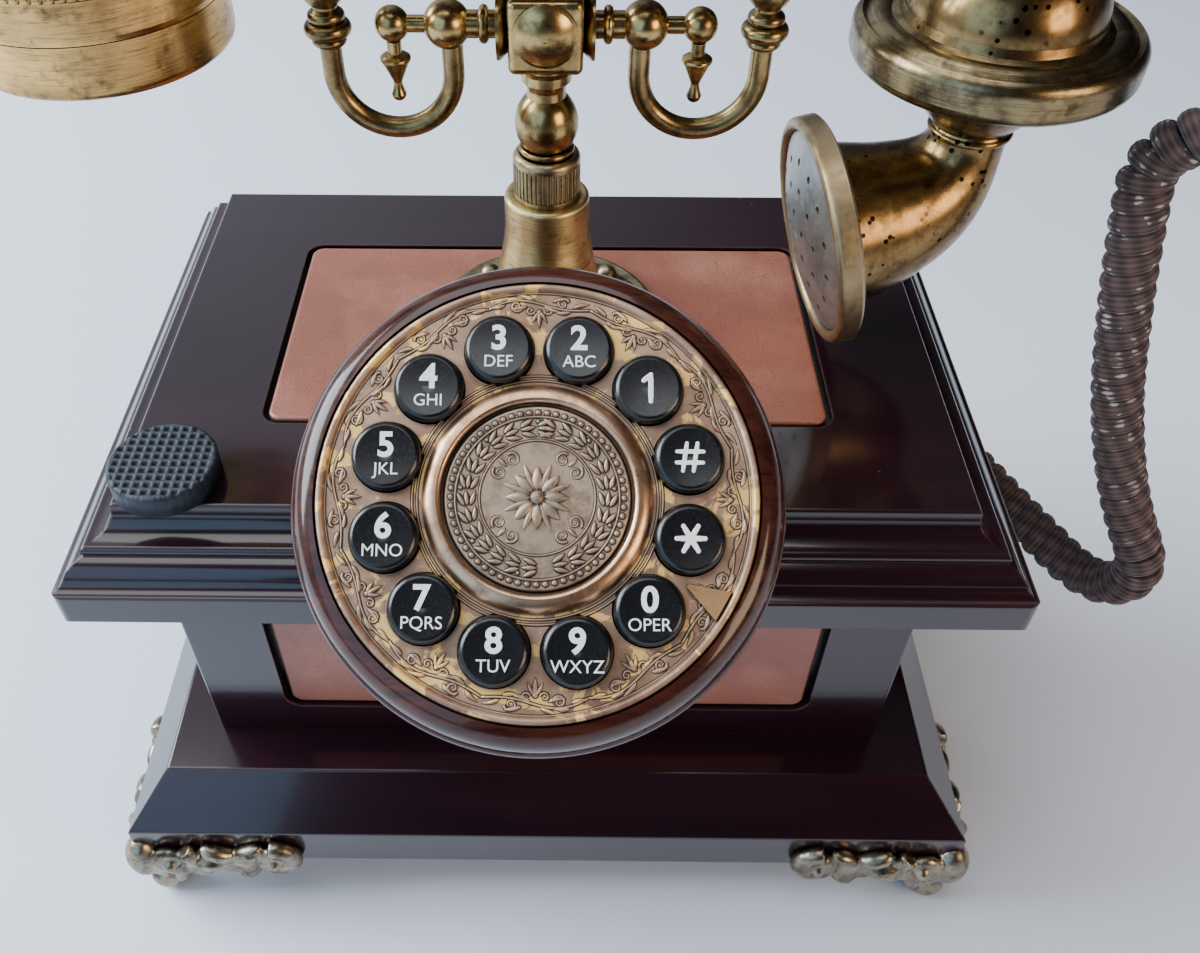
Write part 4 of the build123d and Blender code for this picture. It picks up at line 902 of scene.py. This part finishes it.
def make_pad():
    """Round pad with a waffle of small pits on its top."""
    low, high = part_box("loose_rubber_pad")
    center = (low + high) / 2
    radius, pitch, steps = (high.x - low.x) / 2, 2.05 * MM, 92
    rim = radius - 0.6 * MM
    vertices, index = [], {}
    size = 2 * rim / steps
    for i in range(steps + 1):
        for j in range(steps + 1):
            x, y = -rim + i * size, -rim + j * size
            far = math.hypot(x, y)
            if far > rim + size * 0.4:
                continue
            ridge = max(abs(math.cos(math.pi * x / pitch)), abs(math.cos(math.pi * y / pitch)))
            depth = 0.75 * MM * min(1.0, max(0.0, (0.93 - ridge) / 0.55))
            if far > rim:
                x, y, depth = x * rim / far, y * rim / far, 0.0
            index[i, j] = len(vertices)
            vertices.append(Vector((x, y, high.z - depth)))
    faces = []
    for i in range(steps):
        for j in range(steps):
            corners = [index.get(c) for c in ((i, j), (i + 1, j), (i + 1, j + 1), (i, j + 1))]
            if all(c is not None for c in corners):
                faces.append(tuple(corners))
    mesh = mesh_from("rubber_pad", [v + Vector((center.x, center.y, 0)) for v in vertices], faces)
    shape = bmesh.new()
    shape.from_mesh(mesh)
    edge = [e for e in shape.edges if e.is_boundary]
    loop = bmesh.ops.extrude_edge_only(shape, edges=edge)["geom"]
    for v in (g for g in loop if isinstance(g, bmesh.types.BMVert)):
        out = Vector((v.co.x - center.x, v.co.y - center.y, 0)).normalized()
        v.co = center + out * radius
        v.co.z = high.z - 0.6 * MM
    loop = bmesh.ops.extrude_edge_only(shape, edges=[e for e in shape.edges if e.is_boundary])["geom"]
    for v in (g for g in loop if isinstance(g, bmesh.types.BMVert)):
        v.co.z = low.z
    bmesh.ops.contextual_create(shape, geom=[e for e in shape.edges if e.is_boundary])
    bmesh.ops.recalc_face_normals(shape, faces=shape.faces)
    shape.to_mesh(mesh)
    shape.free()
    piece = add_object("rubber_pad", mesh, materials["rubber"])
    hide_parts("loose_rubber_pad")
    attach(piece, "pad")


# Receiver's beaded line

def make_beads():
    center = (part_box("receiver_cap")[0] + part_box("receiver_cap")[1]) / 2
    parts = []
    count = 84
    for k in range(count):
        angle = 2 * math.pi * k / count
        out = Vector((math.cos(angle), math.sin(angle), 0))
        place = Vector((center.x, center.y, 228.9 * MM)) + out * 26.35 * MM
        turn = Matrix.Rotation(angle, 3, "Z") @ Matrix.Rotation(0.6, 3, "X")
        parts.append(ellipsoid(place, (0.50 * MM, 0.62 * MM, 0.85 * MM), turn, 6, 8))
    piece = add_object("receiver_beads", mesh_from("receiver_beads", *joined(parts)), materials["hook_brass"])
    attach(piece, "handset")


# Corner feet

def foot_parts():
    """Front right foot as overlapping lumps: two scrolled arms, a shell at the corner and a bulb."""
    low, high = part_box("plinth")
    corner = Vector((high.x, low.y, low.z))
    parts = []

    def arm(place, length):
        def lump(x, z, size, turn_deg=0, out=0.0):
            turn = Matrix.Rotation(math.radians(turn_deg), 3, "Y")
            center = Vector((x, -out, z)) * MM
            part = ellipsoid(center, tuple(s * MM for s in size), turn, 12, 18)
            parts.append(placed(part, place))

        def scroll(x, z, start_deg, turns, outer, inner, thick, hand):
            line = spiral(Vector((0, 0, 0)), start_deg, turns, outer * MM, inner * MM, 26, hand)
            points = [Vector((x * MM + p.x, -1.6 * MM, z * MM + p.y)) for p in line]
            radii = [thick * MM * (1.0 - 0.35 * i / len(points)) for i in range(len(points))]
            parts.append(placed(tube(points, radii, 10), place))
        scroll(-length + 8.5, 1.4, 80, 1.35, 5.6, 1.9, 2.7, 1)
        lump(-length + 8.5, 1.4, (2.2, 2.9, 2.2), out=2.4)
        scroll(-length + 20, -2.0, 200, 0.8, 3.8, 1.6, 2.2, -1)
        lump(-length + 16.5, -4.6, (3.6, 2.8, 2.4), 20, 1.4)
        lump(-length + 15.5, 4.8, (4.4, 2.6, 2.0), 24, 1.2)
        lump(-length + 23.5, 4.4, (5.2, 2.9, 2.3), -26, 1.5)
        lump(-length + 26.5, 0.4, (5.2, 3.1, 2.5), -12, 1.9)
        lump(-length + 28.5, -4.0, (4.6, 2.6, 2.2), 14, 1.3)
        scroll(-9.5, 0.6, 130, 1.1, 6.2, 2.2, 2.5, 1)
        lump(-9.5, 0.6, (2.6, 3.1, 2.6), out=2.5)
        scroll(-7, -6.0, 240, 0.9, 4.2, 1.5, 2.0, -1)
        lump(-length / 2 - 1, -0.2, (length / 2 - 4, 2.3, 4.9), 0, 0.4)
    middle_z = Matrix.Translation(corner + Vector((0, 0, 2.2 * MM)))
    arm(middle_z, 46)
    side = Matrix(((0, 1, 0, 0), (1, 0, 0, 0), (0, 0, 1, 0), (0, 0, 0, 1)))
    flip = Matrix.Diagonal((-1, -1, 1, 1))
    arm(middle_z @ flip @ side, 42)
    knee = corner + Vector((-1.0, 1.0, 0.5)) * MM
    parts.append(ellipsoid(knee, (5.2 * MM, 5.2 * MM, 8.2 * MM), None, 14, 20))
    bulb = corner + Vector((-3.5, 3.5, 0)) * MM
    parts.append(ellipsoid(Vector((bulb.x, bulb.y, 5.6 * MM)), (5.4 * MM, 5.4 * MM, 5.6 * MM), None, 14, 20))
    parts.append(ellipsoid(Vector((bulb.x, bulb.y, 12.5 * MM)), (4.9 * MM, 4.9 * MM, 5.5 * MM), None, 14, 20))
    return joined(parts)


def make_feet():
    vertices, faces = foot_parts()
    mesh = mesh_from("foot_shape", vertices, faces)
    holder = add_object("foot_shape", mesh)
    remesh = holder.modifiers.new("remesh", "REMESH")
    remesh.mode = "VOXEL"
    remesh.voxel_size = 0.55 * MM
    smooth = holder.modifiers.new("smooth", "SMOOTH")
    smooth.iterations = 3
    smooth.factor = 0.6
    bpy.context.view_layer.update()
    shape = bpy.data.meshes.new_from_object(holder.evaluated_get(bpy.context.evaluated_depsgraph_get()))
    bpy.data.objects.remove(holder)
    names = ("front_right", "front_left", "back_right", "back_left")
    center = middle("plinth")
    for name, (sx, sy) in zip(names, ((1, 1), (-1, 1), (1, -1), (-1, -1))):
        mesh = shape.copy()
        move = Matrix.Translation((center.x, center.y, 0))
        mesh.transform(move @ Matrix.Diagonal((sx, sy, 1, 1)) @ move.inverted())
        if sx * sy < 0:
            mesh.flip_normals()
        for vertex in mesh.vertices:
            vertex.co.z = max(vertex.co.z, 0.0)
        piece = add_object("foot_" + name, mesh, materials["foot_brass"])
        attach(piece, "base")
    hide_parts("corner_feet")


# Floor and lights

def make_stage():
    size = 3.0
    mesh = mesh_from("floor", [Vector((-size, -size, 0)), Vector((size, -size, 0)), Vector((size, size, 0)),
                               Vector((-size, size, 0))], [(0, 1, 2, 3)])
    floor = add_object("floor", mesh, paper("floor"), smooth=False)


def add_light(name, place, aim, size, power, colour, tall=None):
    data = bpy.data.lights.new(name, "AREA")
    data.shape = "RECTANGLE"
    data.size = size
    data.size_y = tall or size
    data.energy = power
    data.color = colour
    light = bpy.data.objects.new(name, data)
    direction = Vector(aim) - Vector(place)
    light.matrix_world = Matrix.Translation(place) @ direction.to_track_quat("-Z", "Y").to_matrix().to_4x4()
    bpy.context.scene.collection.objects.link(light)


def set_lights():
    target = (0.0, 0.0, 0.10)
    add_light("window", (-1.00, 0.15, 0.75), target, 0.9, 36.0, (0.82, 0.92, 1.0), 0.7)
    add_light("overhead", (-0.25, 0.05, 1.6), target, 1.2, 15.0, (0.94, 0.97, 1.0))
    add_light("cool_front", (-0.55, -0.75, 0.50), (-0.08, -0.16, 0.0), 0.8, 4.0, (0.40, 0.68, 1.0))
    add_light("warm_side", (0.70, -0.55, 0.45), (0.22, -0.10, 0.0), 0.4, 4.5, (1.0, 0.74, 0.50))


def set_world():
    """Bright cool sky on the window's side, fading to a dim warm room."""
    world = bpy.data.worlds.new("world")
    bpy.context.scene.world = world
    world.use_nodes = True
    tree = world.node_tree
    direction = tree.nodes.new("ShaderNodeTexCoord").outputs["Generated"]
    dot = tree.nodes.new("ShaderNodeVectorMath")
    dot.operation = "DOT_PRODUCT"
    dot.inputs[1].default_value = Vector((-0.78, 0.42, 0.46)).normalized()
    ramp = tree.nodes.new("ShaderNodeValToRGB")
    tree.links.new(direction, dot.inputs[0])
    tree.links.new(dot.outputs["Value"], ramp.inputs["Fac"])
    stops = ((0.05, (0.030, 0.024, 0.022)), (0.45, (0.17, 0.18, 0.21)), (0.80, (0.95, 1.05, 1.20)))
    ramp.color_ramp.elements.new(0.5)
    for element, (position, colour) in zip(ramp.color_ramp.elements, stops):
        element.position = position
        element.color = (*colour, 1.0)
    background = tree.nodes["Background"]
    tree.links.new(ramp.outputs["Color"], background.inputs["Color"])
    background.inputs["Strength"].default_value = 0.75


legend = legend_paint("legend_paint")
set_camera()
make_cord()
make_legends()
make_dial_relief()
make_medallion_relief()
make_pad()
make_beads()
make_feet()
make_stage()
set_lights()
set_world()
